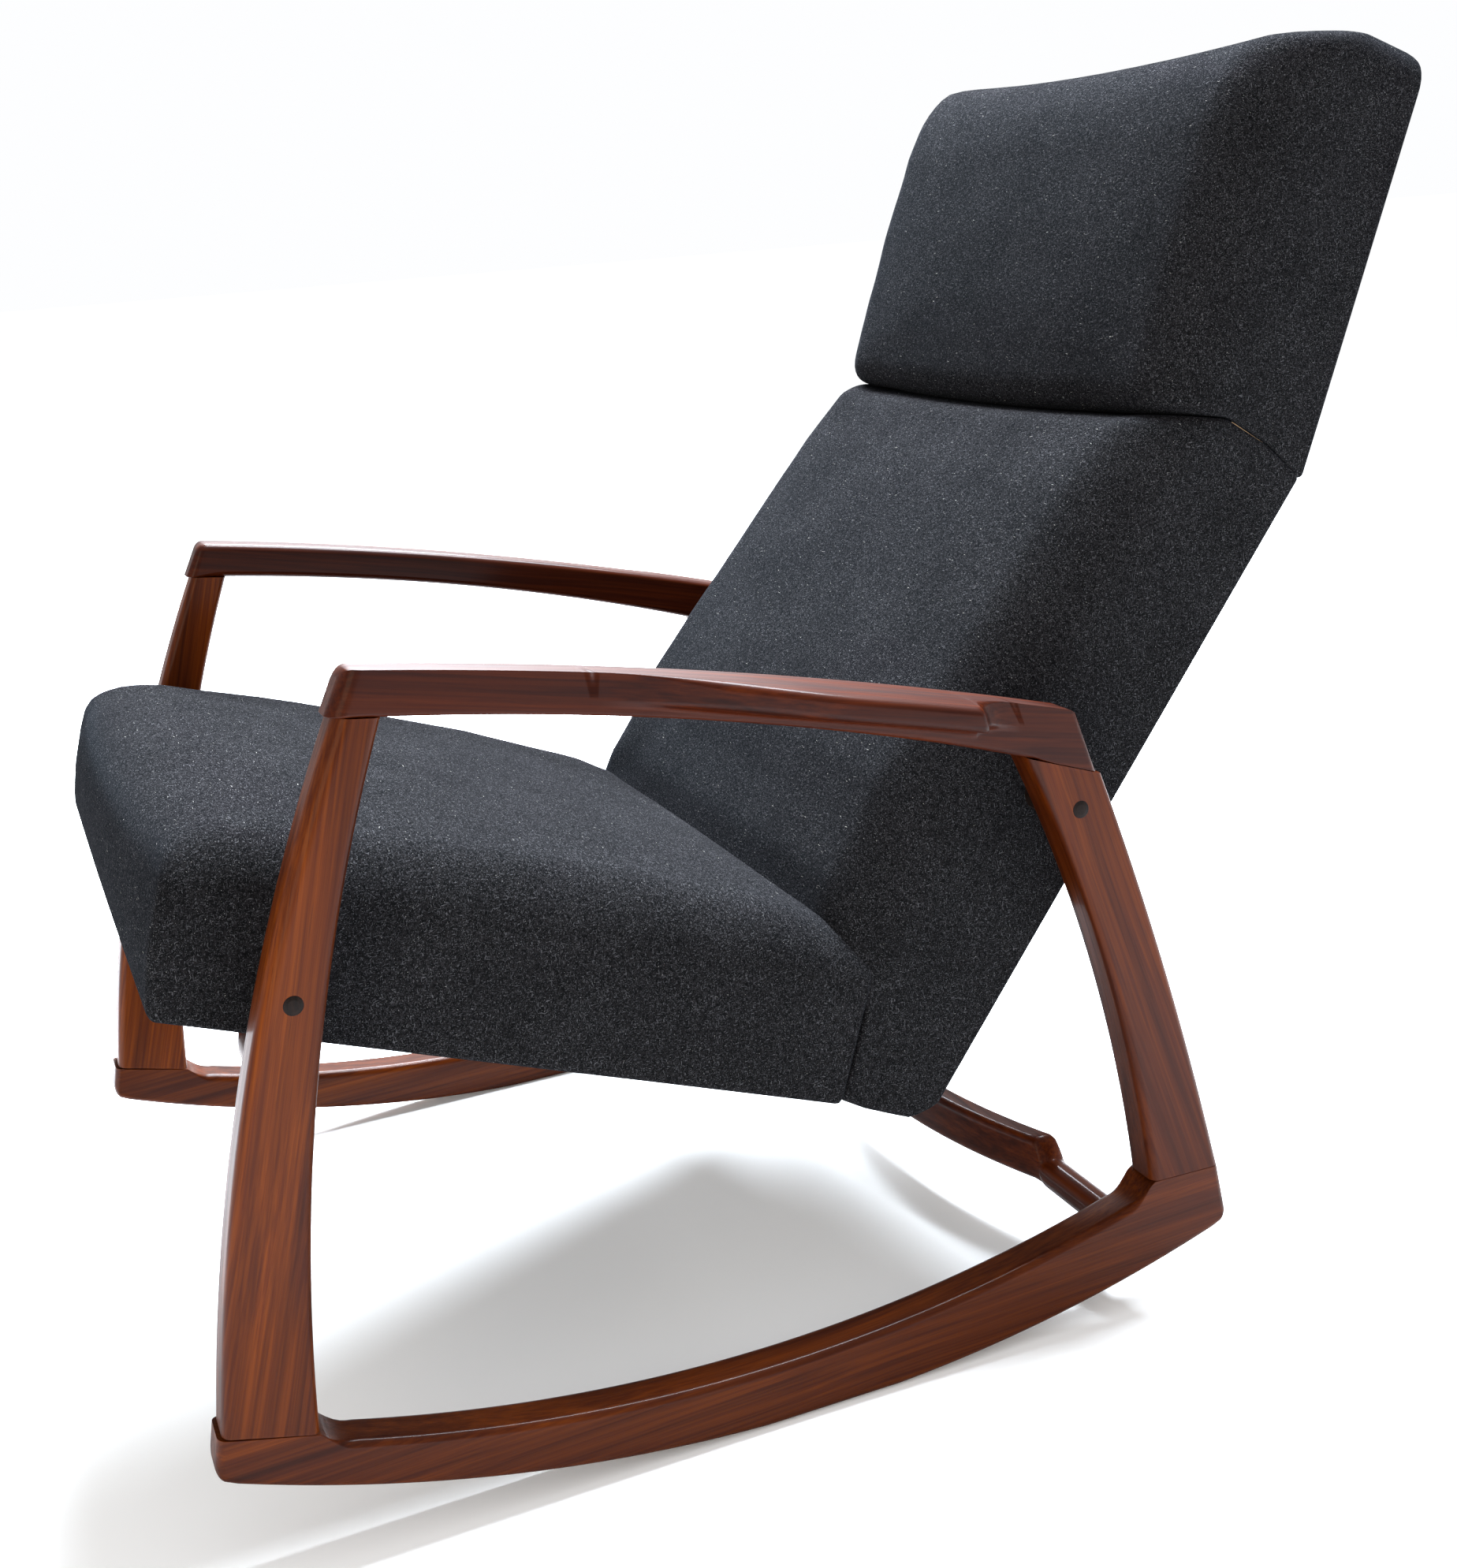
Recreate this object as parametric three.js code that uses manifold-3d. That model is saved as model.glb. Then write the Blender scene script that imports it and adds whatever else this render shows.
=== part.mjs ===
// Upholstered rocking chair: two wooden side frames on curved runners, a sprung seat and a padded back.
// Millimetres, +Z up, the sitter faces -Y and the sitter's left is +X.
// Outlines are drawn in the side plane (y, z) as the empty chair stands, near the middle of its runners.
import * as THREE from 'three';
import { mergeVertices } from 'three/addons/utils/BufferGeometryUtils.js';
import Module from 'manifold-3d';

const wasm = await Module();
wasm.setup();

const at = (y, z) => new THREE.Vector2(y, z);

// Driving dimensions.
const FRAME_WIDTH = 680; // over the outer faces of the two side frames
const MEMBER = 32; // thickness of every side frame member
const CLEAR = 0.3; // glue line or running clearance between two pieces

// A circular edge: the height (or depth) of its extreme point, where its centre lies, and its radius.
const RUNNER_UNDER = { lowest: 2.5, centre: -10.4, radius: 1140 };
const RUNNER_TOP = { lowest: 47.3, centre: -53.4, radius: 1121 };
const RUNNER_FRONT = -436;
const RUNNER_REAR = 326;
const NOSE_RADIUS = 10;
const REST_FLAT = 100; // length of the flat that the chair stands on

const FRONT_FOOT = { front: at(-431, 113.4), rear: at(-367.8, 97.9) };
const FRONT_LEG_FRONT = { extreme: -436, centre: -36.1, radius: 1437.8 };
const FRONT_LEG_REAR = { extreme: -368.3, centre: 61.4, radius: 1385 };
const REAR_FOOT = { front: at(260, 101.5), rear: at(319.6, 100) };
const REAR_LEG_FRONT = { extreme: 263.8, centre: 9.9, radius: 1103 };
const REAR_LEG_REAR = { extreme: 368.4, centre: -407.1, radius: 2661.1 };
const FOOT_FILLET = 26; // how far the hollow corner between a leg and its runner reaches along the runner

const ARM = { frontLow: -312, frontHigh: -298.4, rearLow: 231, rearHigh: 216.1 };
const ARM_TOP = { highest: 627.6, centre: -849.7, radius: 3776 };
const ARM_UNDER = { highest: 574.9, centre: -590, radius: 2338 };
const LIP = { reach: 28, height: 18, droop: 3.5, start: -138, full: 50, end: 127, scoop: 37 };

const TENON = { thickness: 10, width: 16, length: 30 };
const TENONS = {
  front_foot: at(-399, 105),
  rear_foot: at(290, 100),
  front_arm: at(-295, 552),
  rear_arm: at(203, 440),
};

const BOLT = { shank: 8, head: 13, headHeight: 5, plug: 14, plugHeight: 6, plugCrown: 0.8 };
const FRONT_BOLT = at(-352.4, 383.4);
const SPACER = 28;
const INSERT = { outer: 12, length: 16 };

const BODY_WIDTH = 570; // the upholstered seat and back
const COVER = 6; // padding between the inner frame and the outside of the cover
const RAIL = 18; // thickness of the inner frame rails
const PANEL = 2.4; // thickness of the cloth that closes the underside and the rear
const SEAT = {
  rear: at(35.87, 198.94), slope: 20.33, length: 503, side: 88, crown: 5, corner: 46, railHeight: 50,
};
const WEBBING = { width: 50, thickness: 2.2, seatStraps: 5 };

const BACK = { foot: at(153.1, 231.9), lean: 38.95, low: -99, kink: 494.3, side: 84, crown: 5, corner: 56 };
const BACK_FRAME = { depth: 72, foot: -66, hollow: 112, boltAlong: 170.5, boltEdge: 13.35 };
const HEAD = { lean: 23.2, length: 337, crown: 4, corner: 46, railTop: 309, hollowTop: 285 };
const SEAM = [
  at(500, 572), at(463.7, 603.2), at(430, 637), at(396.4, 660.3), at(341.9, 669.1), at(240, 668),
];
const SEAM_GAP = 0.6;
const JOINT_BOLT = { x: 160, out: 38, shank: 8, head: 14, headHeight: 5, inside: 30, beyond: 38 };

const FRONT_STRETCHER = { y: -363.5, z: 316, bow: 24, rise: 0 };
const REAR_STRETCHER = { y: 245, z: 60, bow: -40, rise: 11 };
const STRETCHER = { round: 25, shoulder: 92, height: 37, depth: 22 };

const ARC_STEPS = 16; // straight pieces along the curved edge of a leg
const radians = THREE.MathUtils.degToRad;
const OUTER = FRAME_WIDTH / 2;
const INNER = OUTER - MEMBER;
const BODY = BODY_WIDTH / 2;
const RAIL_OUTER = BODY - COVER;
const RAIL_INNER = RAIL_OUTER - RAIL;
const POCKET_SIDE = RAIL_OUTER + CLEAR;
const JOINT_START = SEAT.length - JOINT_BOLT.inside;
const JOINT_TIP = SEAT.length + JOINT_BOLT.beyond;

// The rear bolt runs through the side rail of the back, a set distance behind the rail's front face.
const backUp = new THREE.Vector2(Math.sin(radians(BACK.lean)), Math.cos(radians(BACK.lean)));
const backOut = new THREE.Vector2(-backUp.y, backUp.x);
const REAR_BOLT = BACK.foot.clone()
  .addScaledVector(backUp, BACK_FRAME.boltAlong)
  .addScaledVector(backOut, BACK_FRAME.depth - BACK_FRAME.boltEdge);

const teak = { color: 0x6e3a1c, roughness: 0.38, metalness: 0 };
const beech = { color: 0xc79b68, roughness: 0.7, metalness: 0 };
const ebony = { color: 0x120d0b, roughness: 0.25, metalness: 0 };
const steel = { color: 0x8d9094, roughness: 0.35, metalness: 1 };
const brass = { color: 0xa8874a, roughness: 0.4, metalness: 1 };
const wool = { color: 0x34363b, roughness: 0.95, metalness: 0 };
const canvas = { color: 0x1d1c1c, roughness: 0.95, metalness: 0 };
const elastic = { color: 0x2a2420, roughness: 0.8, metalness: 0 };

const chair = new THREE.Group();

function add(name, geometry, finish) {
  const mesh = new THREE.Mesh(geometry, new THREE.MeshStandardMaterial(finish));
  mesh.name = name;
  chair.add(mesh);
}

// ---- Solids: joins and cuts ----

function toSolid(geometry) {
  const bare = geometry.clone();
  bare.deleteAttribute('normal');
  bare.deleteAttribute('uv');
  const merged = mergeVertices(bare, 1e-4);
  const vertProperties = new Float32Array(merged.attributes.position.array);
  const triVerts = new Uint32Array(merged.index.array);
  return new wasm.Manifold(new wasm.Mesh({ numProp: 3, vertProperties, triVerts }));
}

function toGeometry(solid) {
  const mesh = solid.getMesh();
  const geometry = new THREE.BufferGeometry();
  const corners = new Float32Array(mesh.numVert * 3);
  for (let vertex = 0; vertex < mesh.numVert; vertex += 1) {
    for (let axis = 0; axis < 3; axis += 1) {
      corners[vertex * 3 + axis] = mesh.vertProperties[vertex * mesh.numProp + axis];
    }
  }
  geometry.setAttribute('position', new THREE.BufferAttribute(corners, 3));
  geometry.setIndex(new THREE.BufferAttribute(new Uint32Array(mesh.triVerts), 1));
  geometry.computeVertexNormals();
  return geometry;
}

function cut(geometry, tools) {
  let solid = toSolid(geometry);
  for (const tool of tools) {
    solid = solid.subtract(toSolid(tool));
  }
  return toGeometry(solid);
}

// ---- Shapes in the side plane ----

function sideExtrusion(outline, xLow, xHigh) {
  const shape = new THREE.Shape(outline);
  const geometry = new THREE.ExtrudeGeometry(shape, { depth: xHigh - xLow, bevelEnabled: false });
  const yAxis = new THREE.Vector3(0, 1, 0);
  const zAxis = new THREE.Vector3(0, 0, 1);
  const xAxis = new THREE.Vector3(1, 0, 0);
  geometry.applyMatrix4(new THREE.Matrix4().makeBasis(yAxis, zAxis, xAxis));
  geometry.translate(xLow, 0, 0);
  return geometry;
}

function spread(low, high, steps) {
  return Array.from({ length: steps + 1 }, (_, step) => low + ((high - low) * step) / steps);
}

// A closed outline with one corner replaced by a smooth curve that starts and ends a reach away from it.
function roundCorner(outline, corner, reach) {
  const count = outline.length;
  let at = 0;
  for (let index = 1; index < count; index += 1) {
    if (outline[index].distanceTo(corner) < outline[at].distanceTo(corner)) {
      at = index;
    }
  }
  const walk = (step) => {
    let steps = 1;
    while (outline[(at + step * (steps + 1) + 2 * count) % count].distanceTo(outline[at]) < reach) {
      steps += 1;
    }
    const near = outline[(at + step * (steps - 1) + 2 * count) % count];
    const far = outline[(at + step * steps + 2 * count) % count];
    const spare = Math.max(0, reach - near.distanceTo(outline[at])) / near.distanceTo(far);
    return { steps, point: near.clone().lerp(far, Math.min(1, spare)) };
  };
  const before = walk(-1);
  const after = walk(1);
  const curve = new THREE.QuadraticBezierCurve(before.point, outline[at].clone(), after.point);
  const kept = [];
  for (let offset = after.steps; offset <= count - before.steps; offset += 1) {
    kept.push(outline[(at + offset) % count]);
  }
  return [...kept, ...curve.getPoints(6)].filter(
    (point, index, all) => point.distanceTo(all[(index + 1) % all.length]) > 0.05,
  );
}

function box(xLow, xHigh, yLow, yHigh, zLow, zHigh) {
  const geometry = new THREE.BoxGeometry(xHigh - xLow, yHigh - yLow, zHigh - zLow);
  geometry.translate((xLow + xHigh) / 2, (yLow + yHigh) / 2, (zLow + zHigh) / 2);
  return geometry;
}

function mirrorX(geometry) {
  const mirrored = geometry.clone().applyMatrix4(new THREE.Matrix4().makeScale(-1, 1, 1));
  const index = mirrored.index ?? new THREE.BufferAttribute(
    Uint32Array.from({ length: mirrored.attributes.position.count }, (_, corner) => corner), 1,
  );
  for (let corner = 0; corner < index.count; corner += 3) {
    const second = index.getX(corner + 1);
    index.setX(corner + 1, index.getX(corner + 2));
    index.setX(corner + 2, second);
  }
  mirrored.setIndex(index);
  mirrored.computeVertexNormals();
  return mirrored;
}

function addPair(name, geometry, finish) {
  add(`${name}_left`, geometry, finish);
  add(`${name}_right`, mirrorX(geometry), finish);
}

// A closed skin over rings of equal point count, with a fan at each end.
function loft(rings) {
  const size = rings[0].length;
  const corners = rings.flat().flatMap((point) => [point.x, point.y, point.z]);
  const faces = [];
  for (let ring = 0; ring + 1 < rings.length; ring += 1) {
    for (let point = 0; point < size; point += 1) {
      const next = (point + 1) % size;
      const here = ring * size;
      const there = here + size;
      faces.push(here + point, here + next, there + next, here + point, there + next, there + point);
    }
  }
  const addEnd = (ring, flip) => {
    const centre = new THREE.Vector3();
    rings[ring].forEach((point) => centre.addScaledVector(point, 1 / size));
    const hub = corners.length / 3;
    corners.push(centre.x, centre.y, centre.z);
    for (let point = 0; point < size; point += 1) {
      const next = (point + 1) % size;
      const edge = flip ? [next, point] : [point, next];
      faces.push(hub, ring * size + edge[0], ring * size + edge[1]);
    }
  };
  addEnd(0, true);
  addEnd(rings.length - 1, false);
  if (signedVolume(corners, faces) < 0) {
    faces.reverse();
  }
  const geometry = new THREE.BufferGeometry();
  geometry.setAttribute('position', new THREE.Float32BufferAttribute(corners, 3));
  geometry.setIndex(faces);
  geometry.computeVertexNormals();
  return geometry;
}

// Positive when the faces of a closed skin point outwards.
function signedVolume(corners, faces) {
  const corner = (index) => new THREE.Vector3().fromArray(corners, faces[index] * 3);
  let volume = 0;
  for (let face = 0; face < faces.length; face += 3) {
    volume += corner(face).dot(corner(face + 1).cross(corner(face + 2)));
  }
  return volume;
}

// A cylinder along X.
function barrel(radius, xLow, xHigh, centre, sides = 24) {
  const geometry = new THREE.CylinderGeometry(radius, radius, xHigh - xLow, sides);
  geometry.rotateZ(-Math.PI / 2);
  geometry.translate((xLow + xHigh) / 2, centre.x, centre.y);
  return geometry;
}

// ---- Side frame members ----

// Places on the circular edges: hollow ones rise away from their extreme, crowned ones fall from it.
const sag = (edge, run) => edge.radius - Math.sqrt(edge.radius ** 2 - (run - edge.centre) ** 2);
const runnerUnder = (y) => RUNNER_UNDER.lowest + sag(RUNNER_UNDER, y);
const runnerTop = (y) => RUNNER_TOP.lowest + sag(RUNNER_TOP, y);
const frontLegFront = (z) => FRONT_LEG_FRONT.extreme + sag(FRONT_LEG_FRONT, z);
const frontLegRear = (z) => FRONT_LEG_REAR.extreme + sag(FRONT_LEG_REAR, z);
const rearLegFront = (z) => REAR_LEG_FRONT.extreme - sag(REAR_LEG_FRONT, z);
const rearLegRear = (z) => REAR_LEG_REAR.extreme - sag(REAR_LEG_REAR, z);
const armTop = (y) => ARM_TOP.highest - sag(ARM_TOP, y);
const armUnder = (y) => ARM_UNDER.highest - sag(ARM_UNDER, y);

// The underside is round but for one flat at its lowest place.
function runnerUnderside() {
  const half = REST_FLAT / 2;
  const ys = [
    ...spread(RUNNER_FRONT, RUNNER_UNDER.centre - half, 16),
    ...spread(RUNNER_UNDER.centre + half, RUNNER_REAR, 14),
  ];
  return ys.map((y) => at(y, runnerUnder(y)));
}

// The hollow corner where the runner's top sweeps up into the foot of a leg.
function footFillet(foot, direction) {
  const end = foot.x + direction * FOOT_FILLET;
  const landing = at(end, runnerTop(end));
  const corner = at(foot.x + direction * 3, runnerTop(foot.x));
  return new THREE.QuadraticBezierCurve(foot, corner, landing).getPoints(6);
}

function rockerOutline() {
  const frontLanding = FRONT_FOOT.rear.x + FOOT_FILLET;
  const rearLanding = REAR_FOOT.front.x - FOOT_FILLET;
  const top = spread(rearLanding, frontLanding, 24).slice(1, -1);
  const outline = [
    ...runnerUnderside(),
    REAR_FOOT.rear.clone(),
    ...footFillet(REAR_FOOT.front, -1),
    ...top.map((y) => at(y, runnerTop(y))),
    ...footFillet(FRONT_FOOT.rear, 1).reverse(),
    FRONT_FOOT.front.clone(),
  ];
  const nose = at(RUNNER_FRONT, runnerUnder(RUNNER_FRONT));
  const tail = at(RUNNER_REAR, runnerUnder(RUNNER_REAR));
  return roundCorner(roundCorner(outline, nose, NOSE_RADIUS), tail, NOSE_RADIUS);
}

// A leg between its foot on the runner and its head under the armrest.
function legOutline(frontEdge, rearEdge, footFront, footRear) {
  const headFront = armUnder(frontEdge(armUnder(footFront.x))) - CLEAR;
  const headRear = armUnder(rearEdge(armUnder(footRear.x))) - CLEAR;
  const front = spread(footFront.y + CLEAR, solveHead(frontEdge, headFront), ARC_STEPS);
  const rear = spread(footRear.y + CLEAR, solveHead(rearEdge, headRear), ARC_STEPS);
  return [
    ...rear.map((z) => at(rearEdge(z), z)),
    ...front.reverse().map((z) => at(frontEdge(z), z)),
  ];
}

// Height at which an edge of a leg meets the underside of the armrest.
function solveHead(edge, guess) {
  let z = guess;
  for (let pass = 0; pass < 8; pass += 1) {
    z = armUnder(edge(z)) - CLEAR;
  }
  return z;
}

// How far the armrest's outer lip stands out at a place along the arm.
function lipReach(y) {
  const least = 0.4;
  const past = y - LIP.end;
  if (past > LIP.scoop) {
    return least;
  }
  if (past > 0) {
    const left = 1 - past / LIP.scoop;
    return Math.max(least, LIP.reach * 0.9 * (1 - Math.sqrt(1 - left * left)));
  }
  return least + (LIP.reach - least) * THREE.MathUtils.smoothstep(y, LIP.start, LIP.full);
}

// One ring round the armrest: inner side, top, outer lip and underside.
function armRing(share) {
  const low = THREE.MathUtils.lerp(ARM.frontLow, ARM.rearLow, share);
  const high = THREE.MathUtils.lerp(ARM.frontHigh, ARM.rearHigh, share);
  const under = armUnder(low);
  const top = armTop(high);
  const reach = lipReach(high);
  const droop = (LIP.droop * reach) / LIP.reach;
  const foot = top - droop - LIP.height;
  const section = [
    [INNER, under],
    [INNER, top],
    [OUTER, top - droop * 0.3],
    [OUTER + reach, top - droop],
    [OUTER + reach, foot],
    [OUTER + reach * 0.5, foot - 2.5],
    [OUTER, foot - 5],
    [OUTER, under],
  ];
  const lean = (high - low) / (top - under);
  return section.map(([x, z]) => new THREE.Vector3(x, low + (z - under) * lean, z));
}

function armrest() {
  const scoop = [0.02, 0.05, 0.1, 0.2, 0.35, 0.55, 0.8, 1].map((part) => LIP.end + LIP.scoop * part);
  const ys = [
    ...spread(ARM.frontHigh, LIP.end - 3, 24),
    LIP.end,
    ...scoop,
    ...spread(LIP.end + LIP.scoop + 4, ARM.rearHigh, 5),
  ];
  const share = (y) => (y - ARM.frontHigh) / (ARM.rearHigh - ARM.frontHigh);
  return loft(ys.map((y) => armRing(share(y))));
}

// ---- Loose tenons in the four corners of each frame ----

function tenonAt(centre, grow = 0) {
  const middle = (INNER + OUTER) / 2;
  const wide = TENON.width / 2 + grow;
  const long = TENON.length / 2 + grow;
  const thick = TENON.thickness / 2 + grow;
  const [low, high] = [middle - thick, middle + thick];
  return box(low, high, centre.x - wide, centre.x + wide, centre.y - long, centre.y + long);
}

const tenonSlots = Object.values(TENONS).map((centre) => tenonAt(centre, CLEAR));

// A bolt hole with the wider bore that holds the head and the plug.
function boltHole(centre) {
  const bore = barrel(BOLT.shank / 2 + CLEAR, INNER - 1, OUTER + 1, centre);
  const seat = OUTER - BOLT.plugHeight - BOLT.headHeight - 2 * CLEAR;
  return [bore, barrel(BOLT.plug / 2 + CLEAR, seat, OUTER + 1, centre)];
}

function stretcherSocket(place) {
  const depth = 14;
  const centre = new THREE.Vector2(place.y, place.z);
  return barrel(STRETCHER.round / 2 + CLEAR, INNER - 1, INNER + depth + CLEAR, centre);
}

function addSideFrames() {
  const rocker = sideExtrusion(rockerOutline(), INNER, OUTER);
  const frontOutline = legOutline(frontLegFront, frontLegRear, FRONT_FOOT.front, FRONT_FOOT.rear);
  const rearOutline = legOutline(rearLegFront, rearLegRear, REAR_FOOT.front, REAR_FOOT.rear);
  const frontLeg = sideExtrusion(frontOutline, INNER, OUTER);
  const rearLeg = sideExtrusion(rearOutline, INNER, OUTER);
  addPair('rocker', cut(rocker, [...tenonSlots, stretcherSocket(REAR_STRETCHER)]), teak);
  const frontHoles = [...boltHole(FRONT_BOLT), stretcherSocket(FRONT_STRETCHER)];
  addPair('front_leg', cut(frontLeg, [...tenonSlots, ...frontHoles]), teak);
  addPair('rear_leg', cut(rearLeg, [...tenonSlots, ...boltHole(REAR_BOLT)]), teak);
  addPair('armrest', cut(armrest(), tenonSlots), teak);
  for (const [name, centre] of Object.entries(TENONS)) {
    addPair(`tenon_${name}`, tenonAt(centre), beech);
  }
}

// ---- Cross stretchers: round ends in the side frames, a bowed board between shoulders ----

function stretcherRing(x, place, height, depth, sides) {
  const half = INNER - STRETCHER.shoulder;
  const bow = place.bow * Math.max(0, 1 - (x / half) ** 2);
  const lift = height > STRETCHER.round ? place.rise : 0;
  const ring = [];
  for (let side = 0; side < sides; side += 1) {
    const angle = (2 * Math.PI * (side + 0.5)) / sides;
    const square = Math.max(Math.abs(Math.cos(angle)), Math.abs(Math.sin(angle)));
    const blend = height > STRETCHER.round ? 0.75 / square + 0.25 : 1;
    const y = place.y + bow + (depth / 2) * Math.cos(angle) * blend;
    const z = place.z + lift + (height / 2) * Math.sin(angle) * blend;
    ring.push(new THREE.Vector3(x, y, z));
  }
  return ring;
}

function stretcher(place) {
  const sides = 16;
  const end = INNER + 13.5;
  const shoulder = INNER - STRETCHER.shoulder;
  const half = [
    [end, STRETCHER.round, STRETCHER.round],
    [INNER - 1, STRETCHER.round, STRETCHER.round],
    [shoulder + 4, STRETCHER.round, STRETCHER.round],
    [shoulder, STRETCHER.height * 0.9, STRETCHER.depth],
    [shoulder - 6, STRETCHER.height, STRETCHER.depth],
    [shoulder - 60, STRETCHER.height, STRETCHER.depth],
    [shoulder - 130, STRETCHER.height, STRETCHER.depth],
    [40, STRETCHER.height, STRETCHER.depth],
  ];
  const stations = [...half, ...half.map(([x, height, depth]) => [-x, height, depth]).reverse()];
  return loft(stations.map(([x, height, depth]) => stretcherRing(x, place, height, depth, sides)));
}

// ---- Bolts, plugs, spacers and threaded inserts ----

function lathe(points, centre, sides = 20) {
  const geometry = new THREE.LatheGeometry(points.map(([radius, x]) => new THREE.Vector2(radius, x)), sides);
  geometry.rotateZ(-Math.PI / 2);
  geometry.translate(0, centre.x, centre.y);
  return geometry;
}

function bolt(centre, tip) {
  const headTop = OUTER - BOLT.plugHeight - CLEAR;
  const headFoot = headTop - BOLT.headHeight;
  const shank = BOLT.shank / 2;
  const head = BOLT.head / 2;
  return lathe([[0, tip], [shank - 0.8, tip], [shank, tip + 1], [shank, headFoot], [head, headFoot],
    [head, headTop - 0.8], [head - 0.8, headTop], [0, headTop]], centre);
}

function plug(centre) {
  const radius = BOLT.plug / 2;
  const foot = OUTER - BOLT.plugHeight;
  return lathe([[0, foot], [radius, foot], [radius, OUTER - 0.4], [radius - 0.7, OUTER + 0.2],
    [radius * 0.55, OUTER + BOLT.plugCrown * 0.8], [0, OUTER + BOLT.plugCrown]], centre);
}

function ringPiece(outer, inner, xLow, xHigh, centre) {
  return lathe([[inner, xLow], [outer, xLow], [outer, xHigh], [inner, xHigh], [inner, xLow]], centre);
}

function addFixings() {
  const tip = RAIL_INNER + 1;
  const sleeve = BOLT.shank / 2 + CLEAR;
  const places = { front: FRONT_BOLT, rear: REAR_BOLT };
  for (const [name, centre] of Object.entries(places)) {
    addPair(`${name}_bolt`, bolt(centre, tip), steel);
    addPair(`${name}_plug`, plug(centre), ebony);
    const spacer = ringPiece(SPACER / 2, sleeve, BODY + CLEAR, INNER - CLEAR, centre);
    addPair(`${name}_spacer`, spacer, ebony);
    const end = RAIL_OUTER - 1;
    addPair(`${name}_insert`, ringPiece(INSERT.outer / 2, sleeve, end - INSERT.length, end, centre), brass);
  }
}

// ---- Upholstered body: each part is drawn on its own sloping frame ----

// Places (x, along, out) on a line in the side plane that starts at a point and leans by an angle.
function makeSlope(origin, direction, outward) {
  return (x, along, out) => new THREE.Vector3(
    x,
    origin.x + direction.x * along + outward.x * out,
    origin.y + direction.y * along + outward.y * out,
  );
}

const seatSlope = radians(SEAT.slope);
const seatDown = new THREE.Vector2(Math.cos(seatSlope), -Math.sin(seatSlope));
const seatFront = SEAT.rear.clone().addScaledVector(seatDown, -SEAT.length);
const onSeat = makeSlope(seatFront, seatDown, new THREE.Vector2(-seatDown.y, seatDown.x));
const onBack = makeSlope(BACK.foot, backUp, backOut);
const headFoot = BACK.foot.clone().addScaledVector(backUp, BACK.kink);
const headUp = new THREE.Vector2(Math.sin(radians(HEAD.lean)), Math.cos(radians(HEAD.lean)));
const onHead = makeSlope(headFoot, headUp, new THREE.Vector2(-headUp.y, headUp.x));

// A solid with flat sides between slope coordinates.
function slopeBox(onSlope, x, along, out) {
  const ring = (place) => [
    onSlope(x[0], place, out[0]), onSlope(x[0], place, out[1]),
    onSlope(x[1], place, out[1]), onSlope(x[1], place, out[0]),
  ];
  return loft([ring(along[0]), ring(along[1])]);
}

// Section with square rear corners and a crowned front that rolls over into the sides: [x, out] pairs.
function cushionSection(side, full, crown, corner, half = BODY) {
  const right = [[half, 0], [half, side]];
  for (const degrees of [25, 50, 75]) {
    const angle = radians(degrees);
    const x = half - corner * (1 - Math.cos(angle));
    right.push([x, side + (full - crown - side) * Math.sin(angle)]);
  }
  for (const share of [0.8, 0.45, 0]) {
    const x = (half - corner) * share;
    right.push([x, full - crown * share * share]);
  }
  const left = right.slice(0, -1).map(([x, out]) => [-x, out]).reverse();
  return [...right, ...left];
}

const seatSection = (grow, side, full) => (
  cushionSection(side + grow, full + grow, SEAT.crown, SEAT.corner, BODY + grow)
);

// The outside of the seat, made larger all round by a given amount.
function seatOutside(grow = 0) {
  const { length, side } = SEAT;
  const nose = [[-10 - grow, 40, side - 14, 90], [-6 - grow, 14, side - 4, 100], [-grow, 0, side, 107]];
  const front = [[12, 0, side, 114], [40, 0, side, 122]];
  const body = [[0.26, 128], [0.455, 133], [0.63, 135], [0.865, 130]].map(([share, full]) => (
    [length * share, 0, side, full]
  ));
  const stations = [...nose, ...front, ...body, [length + grow, 0, side, 116]];
  return loft(stations.map(([along, low, flat, full]) => {
    const foot = low > 0 ? 0 : grow;
    return seatSection(grow, flat, full).map(([x, out]) => onSeat(x, along, Math.max(out, low) - foot));
  }));
}

const SEAT_RAIL_LOW = PANEL + WEBBING.thickness + 2 * CLEAR;
const SEAT_RAIL_HIGH = SEAT_RAIL_LOW + SEAT.railHeight;

// A foam block under its cover, with a groove for the rails and a shallow recess for the webbing.
function seatCushion() {
  const deep = [-1, SEAT_RAIL_HIGH + CLEAR];
  const long = [COVER, SEAT.length - COVER];
  const wide = [-POCKET_SIDE, POCKET_SIDE];
  const groove = RAIL + 2 * CLEAR;
  const side = slopeBox(onSeat, [POCKET_SIDE - groove, POCKET_SIDE], long, deep);
  const front = slopeBox(onSeat, wide, [long[0], long[0] + groove], deep);
  const rear = slopeBox(onSeat, wide, [long[1] - groove, long[1]], deep);
  const recess = slopeBox(onSeat, wide, long, [-1, SEAT_RAIL_LOW + CLEAR]);
  const bore = barrel(BOLT.shank / 2 + CLEAR, RAIL_OUTER - 2, BODY + 1, FRONT_BOLT);
  const grooves = [side, mirrorX(side), front, rear, recess];
  const bores = [bore, mirrorX(bore), jointBore(1), jointBore(-1), headBore(1), headBore(-1)];
  return cut(seatOutside(), [...grooves, ...bores]);
}

const SEAT_INSIDE = [COVER + CLEAR, SEAT.length - COVER - CLEAR];

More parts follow.
